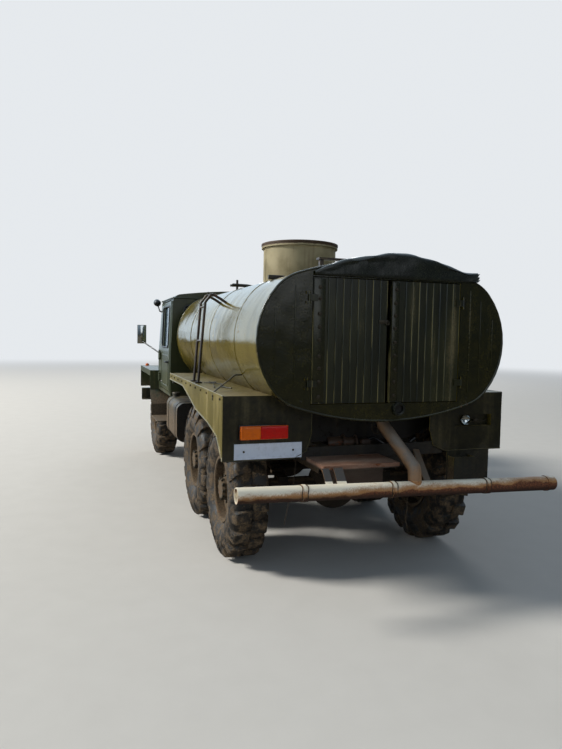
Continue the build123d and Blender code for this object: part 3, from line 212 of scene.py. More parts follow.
def worn_paint(name, fresh, faded, gloss, dust_share, mud_top, rust_share, dents, hammer=2.2, ledges=0,
               plank_highlights=None, rear=None):
    """Paint with sun fade, dust runs, mud below mud_top, rust chips and shallow dents.

    ledges is the share of dirt on faces that look up. The next argument gives the first joint and pitch of
    planks along x, whose joints get painted pale highlights, and the last one is a painted shade colour for
    faces that look back. What looks down is painted dark: painted shade under the parts, with road dirt.
    """
    finish = Finish(name)
    clouds = finish.noise(1.7, 4)
    runs = finish.noise(11, 4, stretch=(1, 1, 0.07))
    grit = finish.noise(70, 5)
    height = finish.axis("Z")
    fade = (clouds * 0.7 + runs * 0.5).rise(0.45, 0.78)
    color = finish.blend(fade, fresh, faded)
    dusty = (runs * 0.75 + clouds * 0.35 + grit * 0.25).rise(0.92 - dust_share, 1.12 - 0.4 * dust_share)
    color = finish.blend(dusty * 0.75, color, dust)
    splash = finish.noise(16, 6, roughness=0.7)
    muddy = (splash * 0.9 + (mud_top - height) * 1.6).rise(0.42, 0.85)
    if ledges:
        muddy = muddy.most(finish.facing("Z").rise(0.6, 0.95) * (splash + clouds).rise(0.75, 1.15) * ledges)
    color = finish.blend(muddy, color, finish.blend(grit.rise(0.25, 0.75), wet_mud, dry_mud))
    flakes = finish.noise(24, 6, roughness=0.75) + finish.noise(2.3, 2) * 0.6
    chips = flakes.rise(1.1 - rust_share, 1.16 - rust_share)
    color = finish.blend(chips, color, finish.blend(grit, rust_dark, rust_light))
    # Faces that look back are painted in a shade colour: painted shade, weaker where dust and mud lie.
    if rear:
        shaded_backs = finish.facing("Y").rise(0.6, 0.95) * (1.15 - dusty * 0.3 - splash * 0.4)
        color = finish.blend(shaded_backs, color, rear)
    # Faces that look down are painted dark: painted shade under the parts, with road dirt.
    color = finish.blend(finish.facing("Z").rise(-0.35, -0.85) * 0.8, color, underside_shade_and_dirt)
    # Pale lines at the plank joints are painted highlights; the noise named worn only breaks them up.
    if plank_highlights:
        joint = ((finish.axis("X").size() - plank_highlights[0]) / plank_highlights[1] + 0.5).fraction() - 0.5
        worn = finish.noise(7, 5, stretch=(3, 1, 0.25)).rise(0.43, 0.6)
        color = finish.blend(joint.size().rise(0.07, 0.03) * worn * 0.75, color, plank_joint_highlight)
    roughness = gloss + dusty * 0.25 + muddy * 0.4 + chips * 0.35 + grit * 0.08
    waves = finish.bump(finish.noise(hammer, 2), dents)
    crust = finish.bump(muddy * splash + chips * -0.4, 0.004, waves)
    normal = finish.bump(grit, 0.0006, crust)
    return finish.surface(color, roughness, normal)


tank_fresh, tank_faded = tint(84, 75, 25), tint(106, 95, 42)
olive = worn_paint("olive_paint", tank_fresh, tank_faded, 0.12, 0.18, 0.75, 0.08, 0.017)
print("made", olive.name)

# %% [markdown]
# ## The other paints
#
# The tail is darker than the flanks, the cab greyer, and the chassis almost black under its dirt, which
# lies on platforms too. The tail's colours are dark olive darkened further with painted shade, and on the
# cabinet, the skirts and the chassis the faces that look back get a painted shade colour. The doors are
# planks whose joints get painted pale highlights. The neck is chalky with a rim of bare rust.

# %% The other paints
# after the two colours: gloss, dust, mud's top, rust, dents
# The rear colours given below are painted shade for the faces that look back.
cabinet_paint = worn_paint("cabinet_paint", tank_fresh, tank_faded, 0.13, 0.18, 0.6, 0.08, 0.012,
                           rear=tint(33, 34, 20))
# The tail wall and the doors are dark olive, darkened further with painted shade of the tail.
wall_olive = worn_paint("tail_wall_paint", tint(34, 35, 20), tint(48, 48, 27), 0.22, 0.16, 0.6, 0.08, 0.003)
plank_olive = worn_paint("plank_paint", tint(30, 32, 20), tint(46, 47, 27), 0.26, 0.18, 0.6, 0.06, 0.002,
                         plank_highlights=(0.018, 0.0586))
skirt_olive = worn_paint("skirt_paint", tint(84, 76, 30), tint(114, 103, 48), 0.28, 0.3, 1.02, 0.12, 0.003,
                         ledges=0.55, rear=tint(24, 25, 16))
cab_green = worn_paint("cab_paint", tint(50, 56, 38), tint(68, 73, 48), 0.26, 0.17, 1.12, 0.08, 0.002,
                       ledges=0.4)
bumper_paint = worn_paint("bumper_paint", tint(36, 38, 32), tint(56, 57, 47), 0.35, 0.28, 0.84, 0.12, 0.002)
dark_paint = worn_paint("chassis_paint", tint(30, 30, 27), tint(50, 48, 40), 0.45, 0.3, 1.08, 0.16, 0,
                           rear=tint(30, 26, 22))
wheel_paint = worn_paint("wheel_paint", tint(60, 60, 44), tint(92, 88, 66), 0.45, 0.45, 1.1, 0.14, 0)
tube_brown = worn_paint("ladder_paint", tint(42, 33, 27), tint(64, 50, 40), 0.35, 0.24, 0.5, 0.14, 0)
sheet_dark = worn_paint("visor_paint", tint(26, 30, 25), tint(38, 42, 33), 0.24, 0.16, 0.5, 0.08, 0.006, 6)

rim_height = 2.784
finish = Finish("neck_paint")
clouds, drips, grit = finish.noise(3.1, 4), finish.noise(20, 5, stretch=(1, 1, 0.05)), finish.noise(85, 5)
color = finish.blend(clouds.rise(0.35, 0.65), tint(158, 148, 118), tint(122, 112, 82))
color = finish.blend(drips.rise(0.55, 0.75) * 0.6, color, tint(104, 82, 56))
rim = (finish.axis("Z") + grit * 0.012 + drips * 0.02).rise(rim_height, rim_height + 0.012)
color = finish.blend(rim, color, finish.blend(grit, tint(56, 42, 30), tint(84, 62, 42)))
neck_paint = finish.surface(color, 0.62 + grit * 0.2, finish.bump(grit + drips, 0.0015))
print("paints:", [m.name for m in bpy.data.materials])

# %% [markdown]
# ## Rust, rubber, glass and lenses
#
# The spray bar is a pipe that was once cream, and rust eats it from its underside, which also gets painted
# shade. Rubber is dark only where mud has fallen off. Clean glass is mostly reflection, so it gets little
# colour and full gloss.

# %% Rusty steel
bar_y = 3.406
bar_slope = 0.07 / 2.548
bar_z = 0.826 - 1.21 * bar_slope


def peeling(name, fresh, worn, share, under_rust, end_rust=0, braces=None, below=None):
    """Old paint that peels to rust, more so on the undersides and towards the right end.

    braces is the colour of all that lies further than a radius from the spray bar's axis, and below is a
    height and the colour under it. Undersides are painted dark brown: painted shade, with rust.
    """
    finish = Finish(name)
    patches = finish.noise(6.5, 6, stretch=(0.45, 1, 1), roughness=0.65)
    grit = finish.noise(110, 5)
    lost = patches - finish.facing("Z") * under_rust + grit * 0.15 - finish.axis("X") * end_rust
    bare = lost.rise(0.66 - share, 0.74 - share)
    stain = (lost + grit * 0.1).rise(0.4 - share, 0.7 - share)
    if braces:
        level = finish.axis("Z") - finish.axis("X") * bar_slope - bar_z
        off_axis = (finish.axis("Y") - bar_y).size().most(level.size())
        inner = off_axis.rise(0.0595, 0.0615)
        straps = finish.blend(finish.axis("X").rise(0.1, 0.3), braces, tint(58, 52, 46))
        fresh = finish.blend(inner, fresh, straps)
        bare = bare * (1 - inner * 0.85)
        stain = stain * (1 - inner * 0.5)
    color = finish.blend(stain, fresh, worn)
    color = finish.blend(bare, color, finish.blend(grit.rise(0.3, 0.7), rust_dark, rust_light))
    if below:
        under = finish.axis("Z").rise(below[0] + 0.004, below[0] - 0.004)
        color = finish.blend(under * 0.85, color, below[1])
    # Undersides are painted dark brown: painted shade, with rust.
    color = finish.blend(finish.facing("Z").rise(0.15, -0.65) * 0.85, color, tint(44, 29, 21))
    return finish.surface(color, 0.42 + bare * 0.4, finish.bump(grit * bare + bare * -0.5, 0.0015))


# after the two colours: bare share, rust of the underside and of the right end
bar_finish = peeling("spray_bar_paint", tint(244, 236, 216), tint(170, 122, 74), 0.09, 0.36, 0.16,
                     tint(116, 104, 92))
plate_finish = peeling("step_rust", tint(160, 136, 120), tint(126, 94, 78), 0.04, 0.05,
                       below=(0.932, tint(52, 47, 43)))
pump_finish = peeling("pump_steel", tint(104, 92, 80), tint(84, 66, 54), 0.06, 0.05)
pipe_finish = peeling("exhaust_rust", tint(92, 64, 46), tint(80, 58, 42), 0.22, 0)
print("steel:", bar_finish.name, plate_finish.name, pump_finish.name, pipe_finish.name)

# %% Rubber
finish = Finish("muddy_rubber")
flakes, grit = finish.noise(13, 6, roughness=0.7), finish.noise(90, 5)
mud = (flakes + grit * 0.15).rise(0.5, 0.66)
color = finish.blend(mud, tint(34, 32, 30), finish.blend(grit.rise(0.3, 0.7), wet_mud, dry_mud))
rubber = finish.surface(color, 0.55 + mud * 0.35, finish.bump(mud * flakes + grit * 0.1, 0.006))
print("made", rubber.name)

# %% Glass, lenses and dark plastic
def plain(name, color, roughness, ripple=0.0004, **others):
    """A nearly even finish: a little grime changes its gloss."""
    finish = Finish(name)
    grime = finish.noise(30, 4)
    shade = finish.blend(grime.rise(0.45, 0.75) * 0.35, color, tuple(0.55 * c for c in color[:3]) + (1,))
    normal = finish.bump(grime, ripple) if ripple else None
    return finish.surface(shade, roughness + grime * 0.12, normal, **others)


def painted_glow(red, green, blue):
    """A painted glow: a faint emission on a lens, standing in for the sky's light shining into it."""
    return {"Emission Color": tint(red, green, blue), "Emission Strength": 0.06}


window_glass = plain("window_glass", tint(84, 99, 110), 0.03, 0, Alpha=0.62, IOR=1.5)
lamp_glass = plain("lamp_glass", tint(215, 220, 218), 0.05, 0)
# The lenses get a faint painted glow.
red_lens = plain("red_lens", tint(168, 18, 12), 0.12, **painted_glow(190, 20, 10))
orange_lens = plain("orange_lens", tint(190, 92, 18), 0.12, **painted_glow(220, 95, 15))
black_plastic = plain("black_plastic", tint(24, 24, 24), 0.35)
seat_cover = plain("seat_cover", tint(74, 52, 36), 0.55)
silver = plain("mirror_silver", tint(200, 205, 205), 0.04, 0, Metallic=1)
plate_white = plain("blank_plate", tint(194, 206, 226), 0.25)
steel = plain("bolt_steel", tint(66, 60, 50), 0.45, Metallic=0.6)
print(len(bpy.data.materials), "finishes")

# %% [markdown]
# ## Dressing the CAD pieces
#
# A CAD piece whose form is right stays as it is, and only its material changes. What the table doesn't name
# is told at once, so nothing is left grey.

# %% Finishes on the CAD pieces
wheel_places = ("front_left", "front_right", "mid_left", "mid_right", "rear_left", "rear_right")
wardrobe = (
    # finish, pieces
    (olive, ("tank",)),
    (skirt_olive, ("mudguards",)),
    (cabinet_paint, ("cabinet",)),
    (plank_olive, ("cabinet_door_left", "cabinet_door_right")),
    (sheet_dark, ("visor",)),
    (neck_paint, ("filler_neck", "filler_lid")),
    (cab_green, ("cab_tub", "cab_back", "cab_roof", "cab_door_left", "cab_door_right", "bonnet", "wings",
                 "grille", "headlamps")),
    (dark_paint, ("frame_rails", "crossmembers", "saddles", "axles", "springs", "engine", "driveline",
                     "knuckle_left", "knuckle_right", "tie_rod", "side_tanks")),
    (bumper_paint, ("bumper",)),
    (wheel_paint, tuple(f"rim_{place}" for place in wheel_places)),
    (rubber, tuple(f"tyre_{place}" for place in wheel_places)),
    (tube_brown, ("ladder",)),
    (bar_finish, ("spray_bar",)),
    (plate_finish, ("step_plate",)),
    (pipe_finish, ("exhaust",)),
    (window_glass, ("cab_glass", "door_glass_left", "door_glass_right")),
    (red_lens, ("tail_lamp",)),
    (black_plastic, ("steering_wheel", "mirrors")),
    (seat_cover, ("seats",)),
)
dressed = set()
for finish, names in wardrobe:
    for name in names:
        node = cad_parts[name]
        node.data.materials.clear()
        node.data.materials.append(finish)
        dressed.add(name)
print("dressed", len(dressed), "nodes; left:", sorted(set(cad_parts) - dressed))

# %% [markdown]
# ## Light and floor
#
# A large soft key lamp on the left makes the flank shine and leaves the tail in its own shade, and weaker
# lamps fill from behind and in front. The camera sees an even pale room, into which the floor fades. Gloss
# sees a brighter left, front and top, and a darker floor, so that the flank mirrors a horizon.

# %% Light and floor
def added(kind, **how):
    """A new primitive, alone selected and active."""
    bpy.ops.object.select_all(action="DESELECT")
    getattr(bpy.ops.mesh, f"primitive_{kind}_add")(**how)
    return bpy.context.object


def soft_lamp(name, place, target, power, width, colour):
    """A square lamp at a place, turned to a target."""
    bpy.ops.object.select_all(action="DESELECT")
    bpy.ops.object.light_add(type="AREA", location=place)
    lamp = bpy.context.object
    lamp.name = name
    lamp.data.energy = power
    lamp.data.size = width
    lamp.data.color = colour
    lamp.rotation_euler = (Vector(target) - Vector(place)).to_track_quat("-Z", "Y").to_euler()


soft_lamp("key", (30, -9, 23), (0, 0.5, 1.2), 17500, 8, (1, 0.96, 0.88))
soft_lamp("fill", (-3, 22, 8), (0, 1.5, 1.2), 330, 10, (0.92, 0.96, 1))
soft_lamp("front", (-10, -22, 12), (0, -1, 1), 1300, 10, (1, 1, 1))


def ray_is(finish, kind):
    return finish.node("LightPath", {}, {}, f"Is {kind} Ray")


world = bpy.data.worlds.new("pale_room")
bpy.context.scene.world = world
room = Finish("pale_room", world)
room_colour = (0.79, 0.82, 0.85, 1)
sky_colour = (0.68, 0.84, 1, 1)
diffuse_strength, gloss_strength, gloss_floor = 0.26, 1.5, 0.08
side = 0.25 + room.axis("X") * 0.5 - room.axis("Y") * 0.45 + room.axis("Z") * 0.65
mirrored = side.rise(-0.2, 1) * gloss_strength + gloss_floor
gloss = ray_is(room, "Glossy")
strength = gloss * mirrored + (1 - gloss) * diffuse_strength
unseen = room.node("Background", {}, {"Color": sky_colour, "Strength": strength})
backdrop = room.node("Background", {}, {"Color": room_colour, "Strength": 1})
mixed = room.node("MixShader", {}, (ray_is(room, "Camera"), unseen, backdrop))
room.end(mixed, "World")

ground = Finish("floor")
ground_colour = ground.blend(ground.noise(4, 4), (0.6, 0.59, 0.57, 1), (0.65, 0.64, 0.62, 1))
ground_colour = ground.blend(ray_is(ground, "Glossy"), ground_colour, (0.16, 0.14, 0.11, 1))
across, along = ground.axis("X"), ground.axis("Y")
haze = (across * across + along * along).rise(60, 1600) * ray_is(ground, "Camera")
black = (0, 0, 0, 1)
glow = {"Emission Color": ground.blend(haze, black, room_colour), "Emission Strength": 1}
ground.surface(ground.blend(haze, ground_colour, black), 0.85, **glow, **{"Specular IOR Level": 0})
floor = added("plane", size=160)
floor.name = "floor"
floor.data.materials.append(ground.material)
bpy.context.scene.view_settings.view_transform = "Standard"
print("three lamps, a pale room and a floor")

# %% [markdown]
# ## Tools for modelling
#
# An operator works on what is selected, so each tool selects one piece first. `line_of` draws a chain of
# edges by extruding one corner again and again; a chain can be spun to a turned part, or thickened to a
# rod. `placed` ends each piece: it gets its name, its finish, and the body that it rides on.

# %% Tools for modelling
both = ((1, "left"), (-1, "right"))
frontward, rearward, upward = (0, -1, 0), (0, 1, 0), (0, 0, 1)


def mode(name):
    bpy.ops.object.mode_set(mode=name)


def select_all():
    bpy.ops.mesh.select_all(action="SELECT")


def settle():
    """Moves an object's place, turn and scale into its mesh."""
    bpy.ops.object.transform_apply(location=True, rotation=True, scale=True)


def only(*pieces):
    """Selects these objects alone; the first is active."""
    bpy.ops.object.select_all(action="DESELECT")
    for piece in pieces:
        piece.select_set(True)
    bpy.context.view_layer.objects.active = pieces[0]


def joined(pieces):
    only(*pieces)
    bpy.ops.object.join()
    return pieces[0]


def placed(name, parts, finish, body="chassis", angle=35):
    """Ends a piece: joined, smooth where round, at the origin, riding on its body, with its finish."""
    piece = joined(parts) if isinstance(parts, list) else parts
    piece.name = name
    only(piece)
    settle()
    bpy.ops.object.shade_smooth_by_angle(angle=radians(angle))
    piece.data.materials.clear()
    piece.data.materials.append(finish)
    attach(piece, body)
    print(piece.name, len(piece.data.polygons), "faces")
    return piece


def middle(element):
    """The centre of a face or an edge."""
    return sum((corner.co for corner in element.verts), Vector()) / len(element.verts)


def pick(piece, kind, test):
    """In edit mode, selects only the edges or faces that pass a test."""
    bpy.ops.mesh.select_mode(type=kind[:-1].upper())
    bpy.ops.mesh.select_all(action="DESELECT")
    shape = bmesh.from_edit_mesh(piece.data)
    for element in getattr(shape, kind):
        if test(element):
            element.select_set(True)
    bmesh.update_edit_mesh(piece.data)


def block(low, high, bevel=0.004, segments=2):
    """A block between two corners, with its edges rounded."""
    low, high = Vector(low), Vector(high)
    piece = added("cube", size=1, location=(low + high) / 2, scale=high - low)
    settle()
    mode("EDIT")
    select_all()
    bpy.ops.mesh.bevel(offset=bevel, segments=segments, affect="EDGES")
    mode("OBJECT")
    return piece


def line_of(points, closed=False):
    """A chain of edges through points."""
    points = [Vector(p) for p in points]
    piece = added("plane", size=0.001, location=points[0])
    mode("EDIT")
    bpy.ops.mesh.select_mode(type="VERT")
    bpy.ops.mesh.merge(type="CENTER")
    for here, there in zip(points, points[1:]):
        bpy.ops.mesh.extrude_region_move(TRANSFORM_OT_translate={"value": there - here})
    if closed:
        shape = bmesh.from_edit_mesh(piece.data)
        for corner in shape.verts:
            corner.select_set(len(corner.link_edges) == 1)
        bmesh.update_edit_mesh(piece.data)
        bpy.ops.mesh.edge_face_add()
    mode("OBJECT")
    settle()
    return piece


def rod(points, radius, closed=False, sides=3):
    """A round rod: a chain becomes a curve with a bevel, and a mesh again."""
    line_of(points, closed)
    bpy.ops.object.convert(target="CURVE")
    curve = bpy.context.object.data
    curve.bevel_depth = radius
    curve.bevel_resolution = sides
    curve.use_fill_caps = True
    bpy.ops.object.convert(target="MESH")
    return bpy.context.object


def rods(rows):
    """An open rod for each row of a radius and its points."""
    return [rod(points, radius) for radius, *points in rows]


def rounded(corners, radius):
    """A closed chain of corners, each cut by an arc of five points."""
    path = []
    corners = [Vector(c) for c in corners]
    for before, corner, after in zip(corners[-1:] + corners[:-1], corners, corners[1:] + corners[:1]):
        first = (before - corner).normalized() * radius
        second = (after - corner).normalized() * radius
        for share in (0, 0.25, 0.5, 0.75, 1):
            a = share * pi / 2
            path.append(corner + first * (1 - sin(a)) + second * (1 - cos(a)))
    return path


def loop_rod(corners, bend, radius):
    """A closed rod round some corners, bent at each of them."""
    return rod(rounded(corners, bend), radius, closed=True)


def pane(first, last, low, high):
    """The corners of a rectangle as pairs, from the first side to the last."""
    return (first, low), (first, high), (last, high), (last, low)


def turns(count):
    """The angles of equal steps round a circle."""
    return [tau * i / count for i in range(count)]


def circle(count, radius):
    """Points on a circle as pairs."""
    return [(radius * cos(a), radius * sin(a)) for a in turns(count)]


def turned(profile, centre, axis, steps=32):
    """A profile of (distance along the axis, radius) pairs, spun about an axis through a centre."""
    centre, axis = Vector(centre), Vector(axis).normalized()
    side = axis.orthogonal().normalized()
    piece = line_of([centre + axis * along + side * radius for along, radius in profile])
    mode("EDIT")
    bpy.ops.mesh.select_mode(type="VERT")
    select_all()
    bpy.ops.mesh.spin(steps=steps, angle=tau, center=centre, axis=axis)
    select_all()
    bpy.ops.mesh.remove_doubles(threshold=0.0001)
    bpy.ops.mesh.normals_make_consistent(inside=False)
    mode("OBJECT")
    return piece


def repeated(master, places):
    """One copy of a master at each matrix, joined to one piece."""
    copies = []
    for place in places:
        copy = master.copy()
        copy.data = master.data.copy()
        copy.data.transform(place)
        bpy.context.scene.collection.objects.link(copy)
        copies.append(copy)
    bpy.data.objects.remove(master)
    return joined(copies)


def facing(direction, place):
    """The matrix that stands a thing made along +Z at a place, with +Z in a direction."""
    turn = Vector(direction).to_track_quat("Z", "Y").to_matrix().to_4x4()
    return Matrix.Translation(Vector(place)) @ turn


def bolts(name, spots, size, height, body="chassis"):
    """A hexagon head on a washer, made at the origin and copied to every spot."""
    washer_height = 0.003
    place = (0, 0, height / 2 + washer_height)
    head = added("cylinder", vertices=6, radius=size, depth=height, location=place)
    settle()
    mode("EDIT")
    pick(head, "faces", lambda f: f.normal.z > 0.9)
    bpy.ops.mesh.inset(thickness=size * 0.18, depth=height * 0.12)
    mode("OBJECT")
    place = (0, 0, washer_height / 2)
    washer = added("cylinder", vertices=12, radius=size * 1.35, depth=washer_height, location=place)
    settle()
    placed(name, repeated(joined([head, washer]), spots), steel, body)


print("tools are ready")

# %% [markdown]
# ## The tank's outline, once more
#
# Seams and the folded rim follow the tank's section: long flat arcs above and below, tighter ones at the
# sides, and four at the corners. A quarter of it is worked out, and the rest follows by changing signs.

# %% Outline of the tank
tank_half_width, tank_half_height, tank_middle = 1.01, 0.585, 1.835
corner_x, corner_z, corner_radius = 0.61, 0.145, 0.345
tail_face = 3.16


def arc_points(centre, radius, first, last, count):
    """Points on an arc; angles in radians."""
    steps = [first + (last - first) * i / count for i in range(count)]
    return [(centre[0] + radius * cos(a), centre[1] + radius * sin(a)) for a in steps]


def tank_section(grow):
    """The closed outline as (x, z) pairs, set off outward by grow."""
    steps = 10
    rise, reach = tank_half_height + grow - corner_z, tank_half_width + grow - corner_x
    corner = corner_radius + grow
    flat = (corner_x**2 + rise**2 - corner**2) / (2 * (rise - corner))
    side = (corner_z**2 + reach**2 - corner**2) / (2 * (reach - corner))
    flat_centre, side_centre = tank_half_height + grow - flat, tank_half_width + grow - side
    flat_turn = atan2(corner_z - flat_centre, corner_x)
    side_turn = atan2(corner_z, corner_x - side_centre)
    quarter = arc_points((side_centre, 0), side, 0, side_turn, steps // 2)
    quarter += arc_points((corner_x, corner_z), corner, side_turn, flat_turn, steps)
    quarter += arc_points((0, flat_centre), flat, flat_turn, pi / 2, steps)
    quarter.append((0, tank_half_height + grow))
    upper = quarter + [(-x, z) for x, z in reversed(quarter[:-1])]
    outline = upper + [(x, -z) for x, z in reversed(upper[1:-1])]
    return [(x, tank_middle + z) for x, z in outline]


def tank_top(x):
    """Height of the tank's upper surface at x, from its outline."""
    upper = sorted(p for p in tank_section(0.003) if p[1] > tank_middle)
    for (x0, z0), (x1, z1) in zip(upper, upper[1:]):
        if x0 <= x <= x1:
            return z0 + (z1 - z0) * (x - x0) / (x1 - x0)
    return tank_middle


def seam(y, radius):
    """A rod round the tank at y."""
    return rod([(x, y, z) for x, z in tank_section(0.001)], radius, closed=True, sides=2)


print("outline of", len(tank_section(0)), "points")

# %% Seams round the tank
# y, radius
seams = [seam(*row) for row in ((-0.405, 0.006), (0.545, 0.004), (1.545, 0.0022), (2.505, 0.0025))]
placed("tank_seams", seams, olive, angle=60)
placed("tail_rim", seam(tail_face - 0.004, 0.009), wall_olive, angle=60)

# %% [markdown]
# ## The doors' strips and bolts
#
# One hexagon head is modelled and copied down each door's strip. Seeded random turns keep the heads from
# standing in rank.

# %% Strips and bolts on the cabinet's doors
dice = random.Random(7)
strip_low, strip_high, strip_thick = 1.396, 2.274, 0.006
bolt_count, bolt_margin = 9, 0.05
for side, edge, width in (("left", 0.6, 0.088), ("right", -0.022, 0.056)):
    body = f"{side}_cabinet_door"
    strip = block((edge - width, tail_face, strip_low), (edge, tail_face + strip_thick, strip_high), 0.002)
    placed(f"door_strip_{side}", strip, wall_olive, body)
    spots = []
    for i in range(bolt_count):
        along = (strip_high - strip_low - 2 * bolt_margin) * i / (bolt_count - 1)
        x = edge - width / 2 + dice.uniform(-0.004, 0.004)
        z = strip_low + bolt_margin + along + dice.uniform(-0.012, 0.012)
        turn = Matrix.Rotation(dice.uniform(0, 1), 4, "Z")
        spots.append(facing(rearward, (x, tail_face + strip_thick, z)) @ turn)
    bolts(f"door_bolts_{side}", spots, 0.011, 0.008, body)

# %% Ribs on the tail wall beside the doors
rib_half, rib_height = 0.004, 0.005
rib_rows = (
    # x, lower end, upper end
    (0.737, 1.47, 2.22), (0.884, 1.62, 2.06), (-0.798, 1.52, 2.16), (-0.91, 1.66, 2.02), (-0.7, 1.45, 2.24),
)
ribs = []
for x, low, high in rib_rows:
    ends = (x - rib_half, tail_face - 0.001, low), (x + rib_half, tail_face + rib_height, high)
    ribs.append(block(*ends, 0.002))
placed("tail_wall_ribs", ribs, wall_olive)

# %% [markdown]
# ## Drain socket, plate and lamp
#
# Low in the tail wall sits a round socket, dark inside. The plate is bare: a pressed sheet with a rim. The
# lamp has an orange end and a red one, each a ribbed lens on a dark base.

# %% Drain socket
drain_at = (-0.096, tail_face, 1.335)
socket_profile = ((0, 0.034), (0.022, 0.034), (0.024, 0.04), (0.022, 0.05), (0, 0.052))
plug_profile = ((0.0005, 0), (0.004, 0.012), (0.002, 0.034))
placed("drain_socket", turned(socket_profile, drain_at, rearward, 28), sheet_dark)
placed("drain_dark", turned(plug_profile, drain_at, rearward, 20), black_plastic)

# %% Number plate
panel_face = 2.95
plate_face = panel_face + 0.0035
plate = block((0.59, panel_face + 0.0005, 0.962), (1.112, plate_face, 1.078), 0.0012)
mode("EDIT")
pick(plate, "faces", lambda f: f.normal.y > 0.9 and f.calc_area() > 0.02)
bpy.ops.mesh.inset(thickness=0.006, depth=0)
bpy.ops.mesh.inset(thickness=0.002, depth=-0.0012)
mode("OBJECT")
placed("number_plate", plate, plate_white)
bolts("plate_bolts", [facing(rearward, (x, panel_face + 0.003, 1.02)) for x in (0.66, 1.04)], 0.006, 0.004)

# %% Tail lamp
lamp_low, lamp_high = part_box("tail_lamp")
placed("lamp_base", block(lamp_low, (lamp_high.x, panel_face + 0.014, lamp_high.z)), black_plastic)
lens_split = lamp_low.x + 0.58 * (lamp_high.x - lamp_low.x)
rib_pitch, rib_depth = 0.012, 0.003


def ribbed_lens(name, x_low, x_high, finish):
    """A lens with upright ribs: a block whose front is cut in strips, every second one drawn back."""
    back, front = panel_face + 0.012, panel_face + 0.052
    lens = block((x_low, back, lamp_low.z + 0.007), (x_high, front, lamp_high.z - 0.007), 0.008, 3)
    rib_count = round((x_high - x_low) / rib_pitch)
    step = (x_high - x_low) / rib_count

    def drawn_back(face):
        place = middle(face)
        return face.normal.y > 0.9 and place.y > front - 0.002 and int((place.x - x_low) / step) % 2 == 0

    mode("EDIT")
    for i in range(1, rib_count):
        select_all()
        bpy.ops.mesh.bisect(plane_co=(x_low + step * i, 0, 0), plane_no=(1, 0, 0))
    pick(lens, "faces", drawn_back)
    bpy.ops.transform.translate(value=(0, -rib_depth, 0))
    mode("OBJECT")
    return placed(name, lens, finish)


rims = []
for first, last in ((lamp_low.x + 0.004, lens_split), (lens_split, lamp_high.x - 0.004)):
    corners = pane(last, first, lamp_low.z + 0.005, lamp_high.z - 0.005)
    rims.append(loop_rod([(x, panel_face + 0.034, z) for x, z in corners], 0.006, 0.002))
placed("lamp_rims", rims, orange_lens)
red_part = ribbed_lens("lens_red", lamp_low.x + 0.006, lens_split - 0.001, red_lens)
ribbed_lens("lens_orange", lens_split + 0.001, lamp_high.x - 0.006, orange_lens)
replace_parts(red_part, "tail_lamp")

# %% [markdown]
# ## Tyres
#
# A cross-country tyre is a round carcass, a profile spun about the axle, with deep bars from the middle of
# the tread over the shoulder. One bar is shaped from an outline and copied round the wheel, and its mirror
# image serves the other side, half a step on. From the middle the bars lean back, as the lugs of the
# drawing do.

# %% Tyre carcass and bars
axle_height, wheel_x = 0.565, 0.91
wheel_y = {"front": -2.39, "mid": 0.96, "rear": 2.21}
carcass_half = (
    # distance from the middle plane, radius
    (0.1135, 0.2555), (0.116, 0.284), (0.13, 0.3), (0.149, 0.34), (0.1545, 0.372), (0.1565, 0.376),
    (0.1575, 0.405), (0.157, 0.428), (0.155, 0.432), (0.152, 0.455), (0.142, 0.484), (0.124, 0.512),
    (0.095, 0.527), (0.05, 0.533), (0, 0.534),
)
carcass_profile = [(-u, r) for u, r in carcass_half] + [(u, r) for u, r in reversed(carcass_half[:-1])]
bar_outline = (
    # distance from the middle plane, radius
    (0.005, 0.52), (0.005, 0.563), (0.06, 0.563), (0.112, 0.5615), (0.127, 0.553), (0.14, 0.525),
    (0.15, 0.493), (0.1585, 0.464), (0.159, 0.442), (0.15, 0.44), (0.138, 0.48),
    (0.115, 0.508), (0.07, 0.52),
)
bar_count, bar_width, bar_slant, bar_lead = 18, 0.098, 0.2126, 0.0133
bar_top, bar_shoulder = 0.563, 0.11


def tread_bar(side):
    """One bar at the top of a wheel at the origin: an outline, filled, drawn out, notched and slanted."""
    bar = line_of([(side * u, -bar_width / 2, r) for u, r in bar_outline], closed=True)
    mode("EDIT")
    bpy.ops.mesh.select_mode(type="EDGE")
    select_all()
    bpy.ops.mesh.edge_face_add()
    bpy.ops.mesh.extrude_region_move(TRANSFORM_OT_translate={"value": (0, bar_width, 0)})
    select_all()
    bpy.ops.mesh.normals_make_consistent(inside=False)
    pick(bar, "edges", lambda e: middle(e).z > 0.5 and (e.calc_length() > 0.03 or abs(middle(e).y) > 0.04))
    bpy.ops.mesh.bevel(offset=0.006, segments=2, affect="EDGES")
    mode("OBJECT")
    for corner in bar.data.vertices:
        reach = side * corner.co.x
        draft = 1 + 0.9 * (bar_top - corner.co.z) - 0.8 * max(reach - bar_shoulder, 0)
        corner.co.y = corner.co.y * draft + bar_slant * reach - bar_lead
    return bar


def wheel_centre(place):
    """Which way a wheel looks along x, and its centre."""
    line, side = place.rsplit("_", 1)
    out = 1 if side == "left" else -1
    return out, Vector((out * wheel_x, wheel_y[line], axle_height))


for place in wheel_places:
    parts = [turned(carcass_profile, (0, 0, 0), (1, 0, 0), 72)]
    for direction, start in ((1, 0), (-1, 0.5)):
        steps = [Matrix.Rotation(tau * (i + start) / bar_count, 4, "X") for i in range(bar_count)]
        parts.append(repeated(tread_bar(direction), steps))
    tyre = joined(parts)
    tyre.location = wheel_centre(place)[1]
    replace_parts(placed(f"tyre_with_bars_{place}", tyre, rubber, f"wheel_{place}"), f"tyre_{place}")

